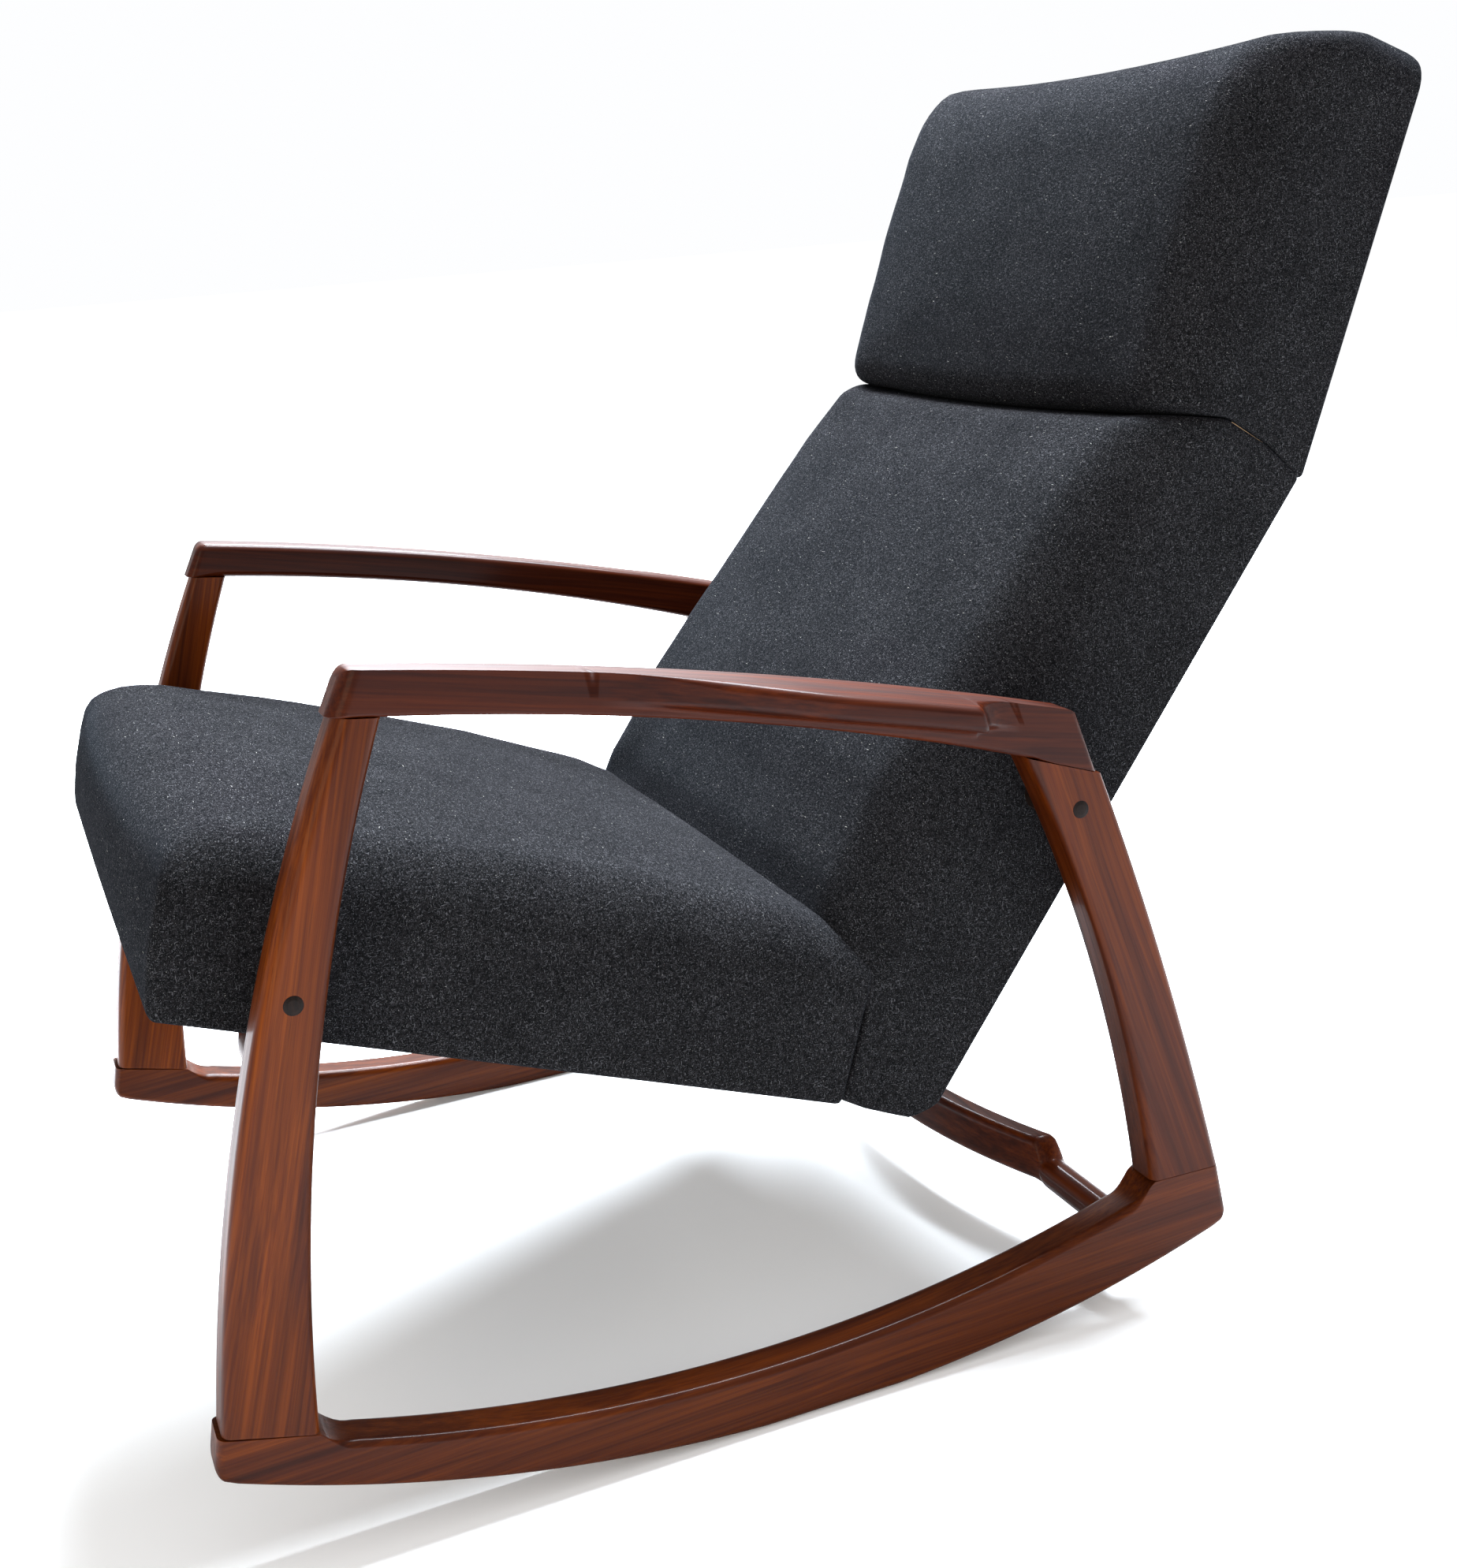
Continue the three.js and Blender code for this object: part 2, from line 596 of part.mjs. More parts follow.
function addSeat() {
  add('seat_cushion', seatCushion(), wool);
  const high = [SEAT_RAIL_LOW, SEAT_RAIL_HIGH];
  const hole = barrel(INSERT.outer / 2 + CLEAR, RAIL_INNER - 1, RAIL_OUTER + 1, FRONT_BOLT);
  const side = slopeBox(onSeat, [RAIL_INNER, RAIL_OUTER], SEAT_INSIDE, high);
  addPair('seat_rail', cut(side, [hole]), beech);
  const across = [-RAIL_INNER + CLEAR, RAIL_INNER - CLEAR];
  const [front, rear] = SEAT_INSIDE;
  add('seat_rail_front', slopeBox(onSeat, across, [front, front + RAIL], high), beech);
  const rearRail = slopeBox(onSeat, across, [rear - RAIL, rear], high);
  add('seat_rail_rear', cut(rearRail, [jointBore(1), jointBore(-1)]), beech);
  add('seat_dust_cloth', slopeBox(onSeat, [-RAIL_OUTER, RAIL_OUTER], SEAT_INSIDE, [0, PANEL]), canvas);
  const face = [PANEL + CLEAR, PANEL + CLEAR + WEBBING.thickness];
  const pitch = (2 * RAIL_INNER) / WEBBING.seatStraps;
  for (let strap = 0; strap < WEBBING.seatStraps; strap += 1) {
    const middle = (strap + 0.5) * pitch - RAIL_INNER;
    const width = [middle - WEBBING.width / 2, middle + WEBBING.width / 2];
    add(`seat_webbing_${strap + 1}`, slopeBox(onSeat, width, [front + 3, rear - 3], face), elastic);
  }
}

// ---- Back: lower cushion, headrest cushion, kinked inner frame, webbing and rear panels ----

// Everything above (or below) the curved seam under the headrest, kept clear of it by a gap.
function beyondSeam(side, gap) {
  const seam = SEAM.map((point) => at(point.x, point.y - (side * gap) / 2));
  const far = side > 0 ? 1300 : -300;
  return sideExtrusion([...seam, at(seam[seam.length - 1].x, far), at(seam[0].x, far)], -BODY - 9, BODY + 9);
}

const RAIL_POCKET = BACK_FRAME.depth + WEBBING.thickness + 3 * CLEAR;

function backCushion() {
  const { low: foot, side, crown, corner } = BACK;
  const heel = [[foot, 50, side - 10, 94], [foot + 3, 40, side - 6, 114], [foot + 13, 13, side - 2, 138]];
  const body = [[-72, 149], [0, 152], [68, 157], [169, 155], [297, 150], [412, 145], [459, 137], [540, 134]];
  const stations = [...heel, ...body.map(([along, full]) => [along, 0, side, full])];
  const outside = loft(stations.map(([along, low, flat, full]) => (
    cushionSection(flat, full, crown, corner).map(([x, out]) => onBack(x, along, Math.max(out, low)))
  )));
  const pocket = slopeBox(onBack, [-POCKET_SIDE, POCKET_SIDE], [BACK_FRAME.foot, 560], [-9, RAIL_POCKET]);
  const hollowSide = BODY - corner;
  const hollow = slopeBox(onBack, [-hollowSide, hollowSide], [40, 560], [-9, BACK_FRAME.hollow]);
  const bore = barrel(BOLT.shank / 2 + CLEAR, RAIL_OUTER - 2, BODY + 1, REAR_BOLT);
  const tools = [seatOutside(SEAM_GAP), beyondSeam(1, SEAM_GAP), pocket, hollow, bore, mirrorX(bore)];
  return cut(outside, [...tools, jointBore(1), jointBore(-1)]);
}

function headrestCushion() {
  const stations = [
    [-60, 0, 84, 134], [0, 0, 84, 139], [30, 0, 86, 143], [84, 0, 88, 147], [146, 0, 90, 150],
    [229, 0, 92, 150], [282, 0, 92, 140], [302, 0, 88, 129], [321, 0, 66, 92], [331, 6, 48, 72],
    [HEAD.length, 16, 32, 51],
  ];
  const outside = loft(stations.map(([along, low, side, full]) => (
    cushionSection(side, full, HEAD.crown, HEAD.corner).map(([x, out]) => (
      onHead(x, along, Math.max(out, low))
    ))
  )));
  const pocketTop = HEAD.railTop + CLEAR;
  const pocket = slopeBox(onHead, [-POCKET_SIDE, POCKET_SIDE], [-90, pocketTop], [-9, RAIL_POCKET]);
  const hollowSide = BODY - BACK.corner;
  const hollow = slopeBox(onHead, [-hollowSide, hollowSide], [-90, HEAD.hollowTop], [-9, BACK_FRAME.hollow]);
  return cut(outside, [beyondSeam(-1, SEAM_GAP), pocket, hollow]);
}

// Outline of a piece that follows the kinked rear of the back between two depths.
function kinked(outLow, outHigh, alongLow, alongHigh) {
  const place = (onSlope, along, out) => {
    const point = onSlope(0, along, out);
    return at(point.y, point.z);
  };
  const bend = Math.tan(radians((BACK.lean - HEAD.lean) / 2));
  return [
    place(onBack, alongLow, outLow),
    place(onBack, BACK.kink - outLow * bend, outLow),
    place(onHead, alongHigh, outLow),
    place(onHead, alongHigh, outHigh),
    place(onBack, BACK.kink - outHigh * bend, outHigh),
    place(onBack, alongLow, outHigh),
  ];
}

function addBack() {
  add('back_cushion', backCushion(), wool);
  add('headrest_cushion', headrestCushion(), wool);
  const low = PANEL + CLEAR;
  const deep = BACK_FRAME.depth;
  const foot = BACK_FRAME.foot + CLEAR;
  const top = HEAD.railTop;
  const hole = barrel(INSERT.outer / 2 + CLEAR, RAIL_INNER - 1, RAIL_OUTER + 1, REAR_BOLT);
  const side = sideExtrusion(kinked(low, deep, foot, top), RAIL_INNER, RAIL_OUTER);
  addPair('back_rail', cut(side, [hole]), beech);
  const across = [-RAIL_INNER + CLEAR, RAIL_INNER - CLEAR];
  const bottom = slopeBox(onBack, across, [foot, foot + 32], [low, deep]);
  const tie = BACK.kink - 60;
  add('back_rail_bottom', cut(bottom, [jointBore(1), jointBore(-1)]), beech);
  add('back_rail_middle', slopeBox(onBack, across, [tie, tie + RAIL], [low, deep - RAIL]), beech);
  add('back_rail_top', slopeBox(onHead, across, [top - RAIL, top], [low, deep - RAIL]), beech);
  const face = [deep + CLEAR, deep + CLEAR + WEBBING.thickness];
  const reach = [-RAIL_OUTER + 4, RAIL_OUTER - 4];
  const strap = (onSlope, along) => slopeBox(onSlope, reach, [along, along + WEBBING.width], face);
  for (const [index, along] of [70, 190, 310].entries()) {
    add(`back_webbing_${index + 1}`, strap(onBack, along), elastic);
  }
  for (const [index, along] of [70, 180].entries()) {
    add(`headrest_webbing_${index + 1}`, strap(onHead, along), elastic);
  }
  add('back_panel', sideExtrusion(kinked(0, PANEL, foot, top), -RAIL_OUTER, RAIL_OUTER), canvas);
}

// ---- Bolts that tie the seat's rear rail to the bottom rail of the back ----

// Turns a solid drawn along X into one that runs down the seat's slope from its front to its rear.
function alongSeat(geometry, x) {
  const start = onSeat(x, 0, JOINT_BOLT.out);
  geometry.rotateZ(Math.PI / 2);
  geometry.rotateX(-seatSlope);
  geometry.translate(start.x, start.y, start.z);
  return geometry;
}

function jointBore(side) {
  const radius = JOINT_BOLT.shank / 2 + CLEAR;
  const bore = barrel(radius, JOINT_START - 1, JOINT_TIP + CLEAR, at(0, 0), 20);
  return alongSeat(bore, side * JOINT_BOLT.x);
}

function headBore(side) {
  const end = JOINT_START + JOINT_BOLT.headHeight + CLEAR;
  const bore = barrel(JOINT_BOLT.head / 2 + CLEAR, JOINT_START - CLEAR, end, at(0, 0), 20);
  return alongSeat(bore, side * JOINT_BOLT.x);
}

function addJointBolts() {
  const [start, tip] = [JOINT_START, JOINT_TIP];
  const shank = JOINT_BOLT.shank / 2;
  const head = JOINT_BOLT.head / 2;
  const face = start + JOINT_BOLT.headHeight;
  const outline = [[0, start], [head - 1, start], [head, start + 1], [head, face], [shank, face],
    [shank, tip - 1], [shank - 1, tip], [0, tip]];
  add('seat_back_bolt_left', alongSeat(lathe(outline, at(0, 0)), JOINT_BOLT.x), steel);
  add('seat_back_bolt_right', alongSeat(lathe(outline, at(0, 0)), -JOINT_BOLT.x), steel);
}

addSideFrames();
add('front_stretcher', stretcher(FRONT_STRETCHER), teak);
add('rear_stretcher', stretcher(REAR_STRETCHER), teak);
addFixings();
addSeat();
addBack();
addJointBolts();

// The chair stands on its flats, centred over the origin with the floor at zero.
const bounds = new THREE.Box3().setFromObject(chair, true);
chair.position.set(0, -(bounds.min.y + bounds.max.y) / 2, -bounds.min.z);

export default chair;
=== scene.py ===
import math

import bmesh
import bpy
from mathutils import Matrix, Vector
from mathutils.kdtree import KDTree


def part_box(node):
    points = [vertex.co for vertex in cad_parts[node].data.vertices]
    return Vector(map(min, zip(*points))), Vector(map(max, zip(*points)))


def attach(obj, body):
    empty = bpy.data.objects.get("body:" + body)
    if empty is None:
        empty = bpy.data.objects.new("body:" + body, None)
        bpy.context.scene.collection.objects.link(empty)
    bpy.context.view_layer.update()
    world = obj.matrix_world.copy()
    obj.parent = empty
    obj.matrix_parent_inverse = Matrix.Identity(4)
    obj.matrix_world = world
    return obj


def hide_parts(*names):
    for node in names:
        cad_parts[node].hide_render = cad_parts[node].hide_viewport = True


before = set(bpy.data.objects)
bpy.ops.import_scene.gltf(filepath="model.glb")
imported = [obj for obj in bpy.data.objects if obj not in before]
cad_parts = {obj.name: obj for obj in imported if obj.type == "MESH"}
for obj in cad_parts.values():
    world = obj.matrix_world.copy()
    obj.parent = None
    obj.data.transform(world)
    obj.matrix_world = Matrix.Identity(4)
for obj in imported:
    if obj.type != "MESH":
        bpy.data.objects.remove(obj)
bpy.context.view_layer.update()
scene = bpy.context.scene

# ---------------------------------------------------------------- placing
# Side outlines are in millimetres in the side view's own place, and point() moves them to the row frame.
PLUG_Y, PLUG_Z = -352.4, 383.4
PLUG = [(low + high) * 500 for low, high in zip(*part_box("front_plug_left"))]
SHIFT_Y = PLUG[1] - PLUG_Y
SHIFT_Z = PLUG[2] - PLUG_Z
QUARTER = math.pi / 2


def point(x, y, z):
    return Vector((x, y + SHIFT_Y, z + SHIFT_Z)) / 1000


def lerp(a, b, t):
    return a + (b - a) * t


def smooth(low, high, value):
    t = max(0.0, min(1.0, (value - low) / (high - low)))
    return t * t * (3 - 2 * t)


def spread(low, high, steps):
    return [low + (high - low) * i / steps for i in range(steps + 1)]


def round_start(edge, radius, steps):
    """Stations that crowd towards a rounded edge where a length starts."""
    return [edge + radius * (1 - math.cos(QUARTER * k / steps)) for k in range(steps + 1)]


def round_end(edge, radius, steps):
    """Stations that crowd towards a rounded edge where a length ends."""
    return [edge - radius * (1 - math.sin(QUARTER * k / steps)) for k in range(1, steps + 1)]


def rounding(distance, radius):
    """How far a rounded edge of some radius pulls in at a distance from the end."""
    if distance >= radius:
        return 0.0
    return radius - math.sqrt(max(0.0, radius ** 2 - (radius - distance) ** 2))


def table(pairs, value):
    """Straight steps through a few (place, size) pairs, held level past both ends."""
    if value <= pairs[0][0]:
        return pairs[0][1]
    for (a, va), (b, vb) in zip(pairs, pairs[1:]):
        if value <= b:
            return lerp(va, vb, (value - a) / (b - a))
    return pairs[-1][1]


# ---------------------------------------------------------------- camera
CAMERA_PLACE = (1536.1, -514.0, 838.95)
CAMERA_YAW, CAMERA_PITCH = 1.181586, 0.132208
REST_LEAN = math.radians(5)
LENS, SHIFT_UP = 45.825158, -0.14806435


def add_camera():
    """A camera turned with the chair, which leans back a little when it stands empty."""
    flat = math.cos(CAMERA_PITCH)
    ahead = Vector((-math.sin(CAMERA_YAW) * flat, math.cos(CAMERA_YAW) * flat, -math.sin(CAMERA_PITCH)))
    right = ahead.cross(Vector((0, 0, 1))).normalized()
    up = right.cross(ahead)
    turn = Matrix.Rotation(-REST_LEAN, 3, "X")
    basis = Matrix((turn @ right, turn @ up, turn @ -ahead)).transposed()
    cam = bpy.data.objects.new("camera", bpy.data.cameras.new("camera"))
    scene.collection.objects.link(cam)
    cam.matrix_world = Matrix.Translation(point(*CAMERA_PLACE)) @ basis.to_4x4()
    cam.data.lens = LENS
    cam.data.shift_y = SHIFT_UP
    cam.data.clip_end = 50
    scene.camera = cam


# ---------------------------------------------------------------- materials
def linear(r, g, b):
    def one(c):
        c /= 255
        return c / 12.92 if c <= 0.04045 else ((c + 0.055) / 1.055) ** 2.4
    return (one(r), one(g), one(b), 1.0)


class Nodes:
    """Small helper for writing node trees."""

    def __init__(self, name):
        self.mat = bpy.data.materials.new(name)
        self.mat.use_nodes = True
        self.tree = self.mat.node_tree
        self.tree.nodes.clear()
        self.out = self.tree.nodes.new("ShaderNodeOutputMaterial")
        self.bsdf = self.tree.nodes.new("ShaderNodeBsdfPrincipled")
        self.tree.links.new(self.bsdf.outputs[0], self.out.inputs[0])

    def link(self, source, target):
        self.tree.links.new(source, target)

    def place(self, scale=(1, 1, 1), rotation=(0, 0, 0), offset=(0, 0, 0), source=None):
        mapping = self.tree.nodes.new("ShaderNodeMapping")
        mapping.inputs["Scale"].default_value = scale
        mapping.inputs["Rotation"].default_value = rotation
        mapping.inputs["Location"].default_value = offset
        if source is None:
            coords = self.tree.nodes.new("ShaderNodeTexCoord")
            source = coords.outputs["Object"]
        self.link(source, mapping.inputs[0])
        return mapping.outputs[0]

    def feed(self, socket, value):
        """Link a socket to a value that is itself a socket, or set the plain value."""
        if isinstance(value, bpy.types.NodeSocket):
            self.link(value, socket)
        else:
            socket.default_value = value

    def noise(self, vector, scale, detail, rough, colour=False):
        node = self.tree.nodes.new("ShaderNodeTexNoise")
        node.inputs["Scale"].default_value = scale
        node.inputs["Detail"].default_value = detail
        node.inputs["Roughness"].default_value = rough
        self.link(vector, node.inputs["Vector"])
        return node.outputs["Color" if colour else 0]

    def thread(self, vector, direction):
        """Stripes of a plain weave, across one direction."""
        node = self.tree.nodes.new("ShaderNodeTexWave")
        node.bands_direction = direction
        node.inputs["Scale"].default_value = 260
        node.inputs["Distortion"].default_value = 0.6
        self.link(vector, node.inputs[0])
        return node.outputs[1]

    def ramp(self, value, *stops):
        node = self.tree.nodes.new("ShaderNodeValToRGB")
        elements = node.color_ramp.elements
        while len(elements) < len(stops):
            elements.new(0.5)
        for element, (place, colour) in zip(elements, stops):
            element.position = place
            element.color = colour
        self.link(value, node.inputs[0])
        return node.outputs[0]

    def mix(self, factor, a, b, mode="MIX"):
        node = self.tree.nodes.new("ShaderNodeMix")
        node.data_type = "RGBA"
        node.blend_type = mode
        for socket, value in ((node.inputs[0], factor), (node.inputs[6], a), (node.inputs[7], b)):
            self.feed(socket, value)
        return node.outputs[2]

    def math(self, kind, a, b):
        node = self.tree.nodes.new("ShaderNodeMath")
        node.operation = kind
        self.feed(node.inputs[0], a)
        self.feed(node.inputs[1], b)
        return node.outputs[0]

    def bump(self, height, strength, distance, base=None):
        node = self.tree.nodes.new("ShaderNodeBump")
        node.inputs["Strength"].default_value = strength
        node.inputs["Distance"].default_value = distance
        self.link(height, node.inputs["Height"])
        if base is not None:
            self.link(base, node.inputs["Normal"])
        return node.outputs[0]


def gray(value):
    return (value, value, value, 1)


def wood(name, turn, seed, golden_hue_and_warm_light, painted_shade_tone):
    """Streaky red-brown hardwood. The grain runs along y before the turn."""
    n = Nodes(name)
    along = n.place(rotation=turn)
    shifted = n.place(source=along, offset=(seed * 0.37, seed * 0.71, seed * 0.23))
    wander = n.noise(n.place(source=shifted, scale=(7, 2.2, 7)), 1.0, 2.0, 0.5, colour=True)
    warped = n.mix(0.02, shifted, wander, "ADD")
    fine = n.noise(n.place(source=warped, scale=(430, 5.0, 430)), 1.0, 3.0, 0.6)
    streak = n.noise(n.place(source=warped, scale=(110, 1.8, 110)), 1.0, 4.0, 0.55)
    broad = n.noise(n.place(source=warped, scale=(24, 1.1, 24)), 1.0, 2.0, 0.5)
    pores = n.noise(n.place(source=shifted, scale=(1300, 24, 1300)), 1.0, 2.0, 0.6)
    figure = n.math("ADD", n.math("MULTIPLY", streak, 0.55), n.math("MULTIPLY", broad, 0.45))
    colour = n.ramp(figure, (0.34, linear(104, 56, 10)), (0.47, linear(86, 44, 8)),
                    (0.58, linear(68, 32, 6)), (0.7, linear(44, 19, 4)))
    lines = n.ramp(fine, (0.36, linear(255, 240, 216)), (0.64, linear(196, 168, 144)))
    colour = n.mix(1.0, colour, lines, "MULTIPLY")
    pore_mask = n.ramp(pores, (0.6, gray(0)), (0.72, gray(1)))
    colour = n.mix(n.math("MULTIPLY", pore_mask, 0.4), colour, linear(44, 20, 10))
    # Painted light: the golden share blends the teak's own red-to-gold hue with painted warm light, and the
    # tone multiplies in painted shade, so each member gets a lit or shaded copy of one teak.
    red, gold = linear(240, 190, 190), linear(255, 232, 120)
    warm = tuple(lerp(a, b, golden_hue_and_warm_light) * painted_shade_tone for a, b in zip(red, gold))
    colour = n.mix(1.0, colour, warm, "MULTIPLY")
    n.link(colour, n.bsdf.inputs["Base Color"])
    rough = n.ramp(streak, (0.3, gray(0.44)), (0.75, gray(0.58)))
    n.link(rough, n.bsdf.inputs["Roughness"])
    n.bsdf.inputs["Specular IOR Level"].default_value = 0.04
    n.bsdf.inputs["Coat Weight"].default_value = 0.09
    n.bsdf.inputs["Coat Roughness"].default_value = 0.14
    height = n.math("SUBTRACT", n.math("MULTIPLY", fine, 0.4), n.math("MULTIPLY", pore_mask, 0.6))
    n.link(n.bump(height, 0.2, 0.0005), n.bsdf.inputs["Normal"])
    return n.mat


def in_side(degrees):
    """Turn for grain that climbs at an angle in the side plane."""
    return (-math.radians(degrees), 0, 0)


# Each direction of the short fibres: a turn, and a scale that is small along the fibre.
FIBRES = (((0.5, 0.9, 0.3), (240, 1300, 1300)), ((-0.7, 0.2, 1.1), (1300, 260, 1300)),
          ((1.2, -0.6, 0.4), (1300, 1300, 240)), ((0.1, 0.6, -0.9), (300, 1100, 1100)))


def felt(name):
    """Thick melange wool: dark ground, short pale fibres in every direction, clumps and a little lint."""
    n = Nodes(name)
    base = n.place()
    wander = n.noise(base, 120, 2.0, 0.5, colour=True)
    bent = n.mix(0.004, base, wander, "ADD")
    fibres = None
    for turn, stretch in FIBRES:
        strand = n.noise(n.place(source=bent, rotation=turn, scale=stretch), 1.0, 2.0, 0.6)
        fibres = strand if fibres is None else n.math("MAXIMUM", fibres, strand)
    clumps = n.noise(base, 420, 3.0, 0.75)
    slow = n.noise(base, 14, 3.0, 0.55)
    patch = n.ramp(clumps, (0.42, gray(0)), (0.6, gray(1)))
    ground = n.mix(patch, linear(11, 11, 12), linear(25, 24, 25))
    pale = n.ramp(fibres, (0.625, gray(0)), (0.7, gray(1)))
    colour = n.mix(n.math("MULTIPLY", pale, 0.5), ground, linear(90, 89, 92))
    shade = n.ramp(slow, (0.3, gray(0.72)), (0.7, gray(1.0)))
    colour = n.mix(1.0, colour, shade, "MULTIPLY")
    lint = n.noise(n.place(source=bent, rotation=(0.3, 0.4, 0.9), scale=(120, 1500, 1500)), 1.0, 1.0, 0.5)
    lint_mask = n.math("MULTIPLY", n.ramp(lint, (0.76, gray(0)), (0.8, gray(1))), 0.8)
    colour = n.mix(lint_mask, colour, linear(158, 155, 150))
    n.link(colour, n.bsdf.inputs["Base Color"])
    n.bsdf.inputs["Roughness"].default_value = 0.95
    n.bsdf.inputs["Specular IOR Level"].default_value = 0.0
    n.bsdf.inputs["Sheen Weight"].default_value = 0.01
    n.bsdf.inputs["Sheen Roughness"].default_value = 0.5
    n.bsdf.inputs["Sheen Tint"].default_value = (0.7, 0.82, 1.0, 1)
    coarse = n.bump(clumps, 0.3, 0.001)
    n.link(n.bump(fibres, 0.35, 0.0008, coarse), n.bsdf.inputs["Normal"])
    return n.mat


def lining(name):
    """Plain black weave on the underside and the rear."""
    n = Nodes(name)
    base = n.place()
    cloth = n.math("MULTIPLY", n.thread(base, "X"), n.thread(base, "Z"))
    speckle = n.noise(base, 700, 3.0, 0.6)
    value = n.math("ADD", n.math("MULTIPLY", cloth, 0.5), n.math("MULTIPLY", speckle, 0.5))
    n.link(n.ramp(value, (0.2, linear(5, 5, 6)), (0.7, linear(19, 19, 20))), n.bsdf.inputs["Base Color"])
    n.bsdf.inputs["Roughness"].default_value = 0.9
    n.bsdf.inputs["Specular IOR Level"].default_value = 0.05
    n.link(n.bump(value, 0.4, 0.0005), n.bsdf.inputs["Normal"])
    return n.mat


def plain_wood(name):
    n = Nodes(name)
    streak = n.noise(n.place(scale=(90, 6, 90)), 1.0, 4.0, 0.6)
    colour = n.ramp(streak, (0.3, linear(196, 160, 116)), (0.7, linear(158, 116, 74)))
    n.link(colour, n.bsdf.inputs["Base Color"])
    n.bsdf.inputs["Roughness"].default_value = 0.6
    n.link(n.bump(streak, 0.2, 0.0004), n.bsdf.inputs["Normal"])
    return n.mat


def metal(name, low, high, rough):
    n = Nodes(name)
    mottle = n.noise(n.place(), 420, 3.0, 0.6)
    n.link(n.ramp(mottle, (0.3, low), (0.7, high)), n.bsdf.inputs["Base Color"])
    n.bsdf.inputs["Metallic"].default_value = 1.0
    n.link(n.ramp(mottle, (0.3, gray(rough)), (0.7, gray(rough + 0.15))), n.bsdf.inputs["Roughness"])
    return n.mat


def black_plug(name, rough):
    n = Nodes(name)
    streak = n.noise(n.place(scale=(600, 600, 60)), 1.0, 3.0, 0.6)
    n.link(n.ramp(streak, (0.3, linear(9, 7, 6)), (0.7, linear(24, 15, 11))), n.bsdf.inputs["Base Color"])
    n.bsdf.inputs["Roughness"].default_value = rough
    n.bsdf.inputs["Specular IOR Level"].default_value = 0.04
    n.bsdf.inputs["Coat Weight"].default_value = 0.02
    n.link(n.bump(streak, 0.1, 0.0003), n.bsdf.inputs["Normal"])
    return n.mat


# ---------------------------------------------------------------- meshes
def new_piece(name, verts, faces, material, nodes, sharp=None):
    mesh = bpy.data.meshes.new(name)
    mesh.from_pydata([tuple(v) for v in verts], [], faces)
    bm = bmesh.new()
    bm.from_mesh(mesh)
    bmesh.ops.remove_doubles(bm, verts=bm.verts, dist=1e-6)
    bmesh.ops.recalc_face_normals(bm, faces=bm.faces)
    bm.to_mesh(mesh)
    bm.free()
    mesh.shade_smooth()
    if sharp is not None:
        mesh.set_sharp_from_angle(angle=math.radians(sharp))
    mesh.materials.append(material)
    obj = bpy.data.objects.new(name, mesh)
    scene.collection.objects.link(obj)
    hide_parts(*nodes)
    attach(obj, "root")
    return obj


def skin(rings):
    """Faces between rings of equal size, closed with one face at each end."""
    size = len(rings[0])
    verts = [v for ring in rings for v in ring]
    faces = []
    for r in range(len(rings) - 1):
        for i in range(size):
            j = (i + 1) % size
            faces.append((r * size + i, r * size + j, (r + 1) * size + j, (r + 1) * size + i))
    faces.append(tuple(reversed(range(size))))
    faces.append(tuple(range((len(rings) - 1) * size, len(rings) * size)))
    return verts, faces


def rounded(corners, radii, steps=6):
    """A closed ring through 3-D corners in one plane, each rounded by its own radius."""
    ring = []
    count = len(corners)
    for i, (corner, radius) in enumerate(zip(corners, radii)):
        before = corners[i - 1] - corner
        after = corners[(i + 1) % count] - corner
        reach = min(radius, 0.49 * before.length, 0.49 * after.length)
        u, v = before.normalized(), after.normalized()
        for k in range(steps + 1):
            angle = math.pi / 2 * k / steps
            ring.append(corner + u * reach * (1 - math.sin(angle)) + v * reach * (1 - math.cos(angle)))
    return ring


def weighted(obj):
    mod = obj.modifiers.new("weighted", "WEIGHTED_NORMAL")
    mod.mode = "FACE_AREA_WITH_ANGLE"
    mod.keep_sharp = True


# ---------------------------------------------------------------- side frames
OUTER, INNER = 340.0, 308.0


def arc_drop(run, centre, radius):
    """How far an arc falls away from its extreme point."""
    return radius - math.sqrt(radius ** 2 - (run - centre) ** 2)


def under_arc(highest, centre, radius):
    return lambda run: highest - arc_drop(run, centre, radius)


def over_arc(lowest, centre, radius):
    return lambda run: lowest + arc_drop(run, centre, radius)


runner_under = over_arc(2.5, -10.4, 1140)
runner_top = over_arc(47.3, -53.4, 1121)
front_leg_front = over_arc(-436, -36.1, 1437.8)
front_leg_rear = over_arc(-368.3, 61.4, 1385)
rear_leg_front = under_arc(263.8, 9.9, 1103)
rear_leg_rear = under_arc(368.4, -407.1, 2661.1)
arm_top = under_arc(627.6, -849.7, 3776)
arm_under = under_arc(574.9, -590, 2338)


# Joint lines where the feet stand on the rocker: heights at the leg's front and rear edge.
FRONT_FOOT, REAR_FOOT = (113.4, 97.9), (101.5, 100.0)
GLUE_GAP = 0.3


def head_of(edge):
    """Height where a leg's edge meets the armrest's underside."""
    z = 500.0
    for _ in range(12):
        z = arm_under(edge(z)) - GLUE_GAP
    return z


def leg_rings(front_edge, rear_edge, foot, front_radius):
    """A leg from its foot to its head. The front edge's outer corner is rounded by its own radius."""
    rings = []
    head_front, head_rear = head_of(front_edge), head_of(rear_edge)
    for t in spread(0, 1, 40):
        zf = lerp(foot[0] + GLUE_GAP, head_front, t)
        zr = lerp(foot[1] + GLUE_GAP, head_rear, t)
        grow = 0.1 * (1 - smooth(0.0, 0.03, t))
        front = [point(x, front_edge(zf) - grow, zf) for x in (INNER - grow, OUTER + grow)]
        rear = [point(x, rear_edge(zr) + grow, zr) for x in (OUTER + grow, INNER - grow)]
        radii = [0.0065, table(front_radius, t) / 1000, 0.0065, 0.0055]
        rings.append(rounded(front + rear, radii))
    return rings


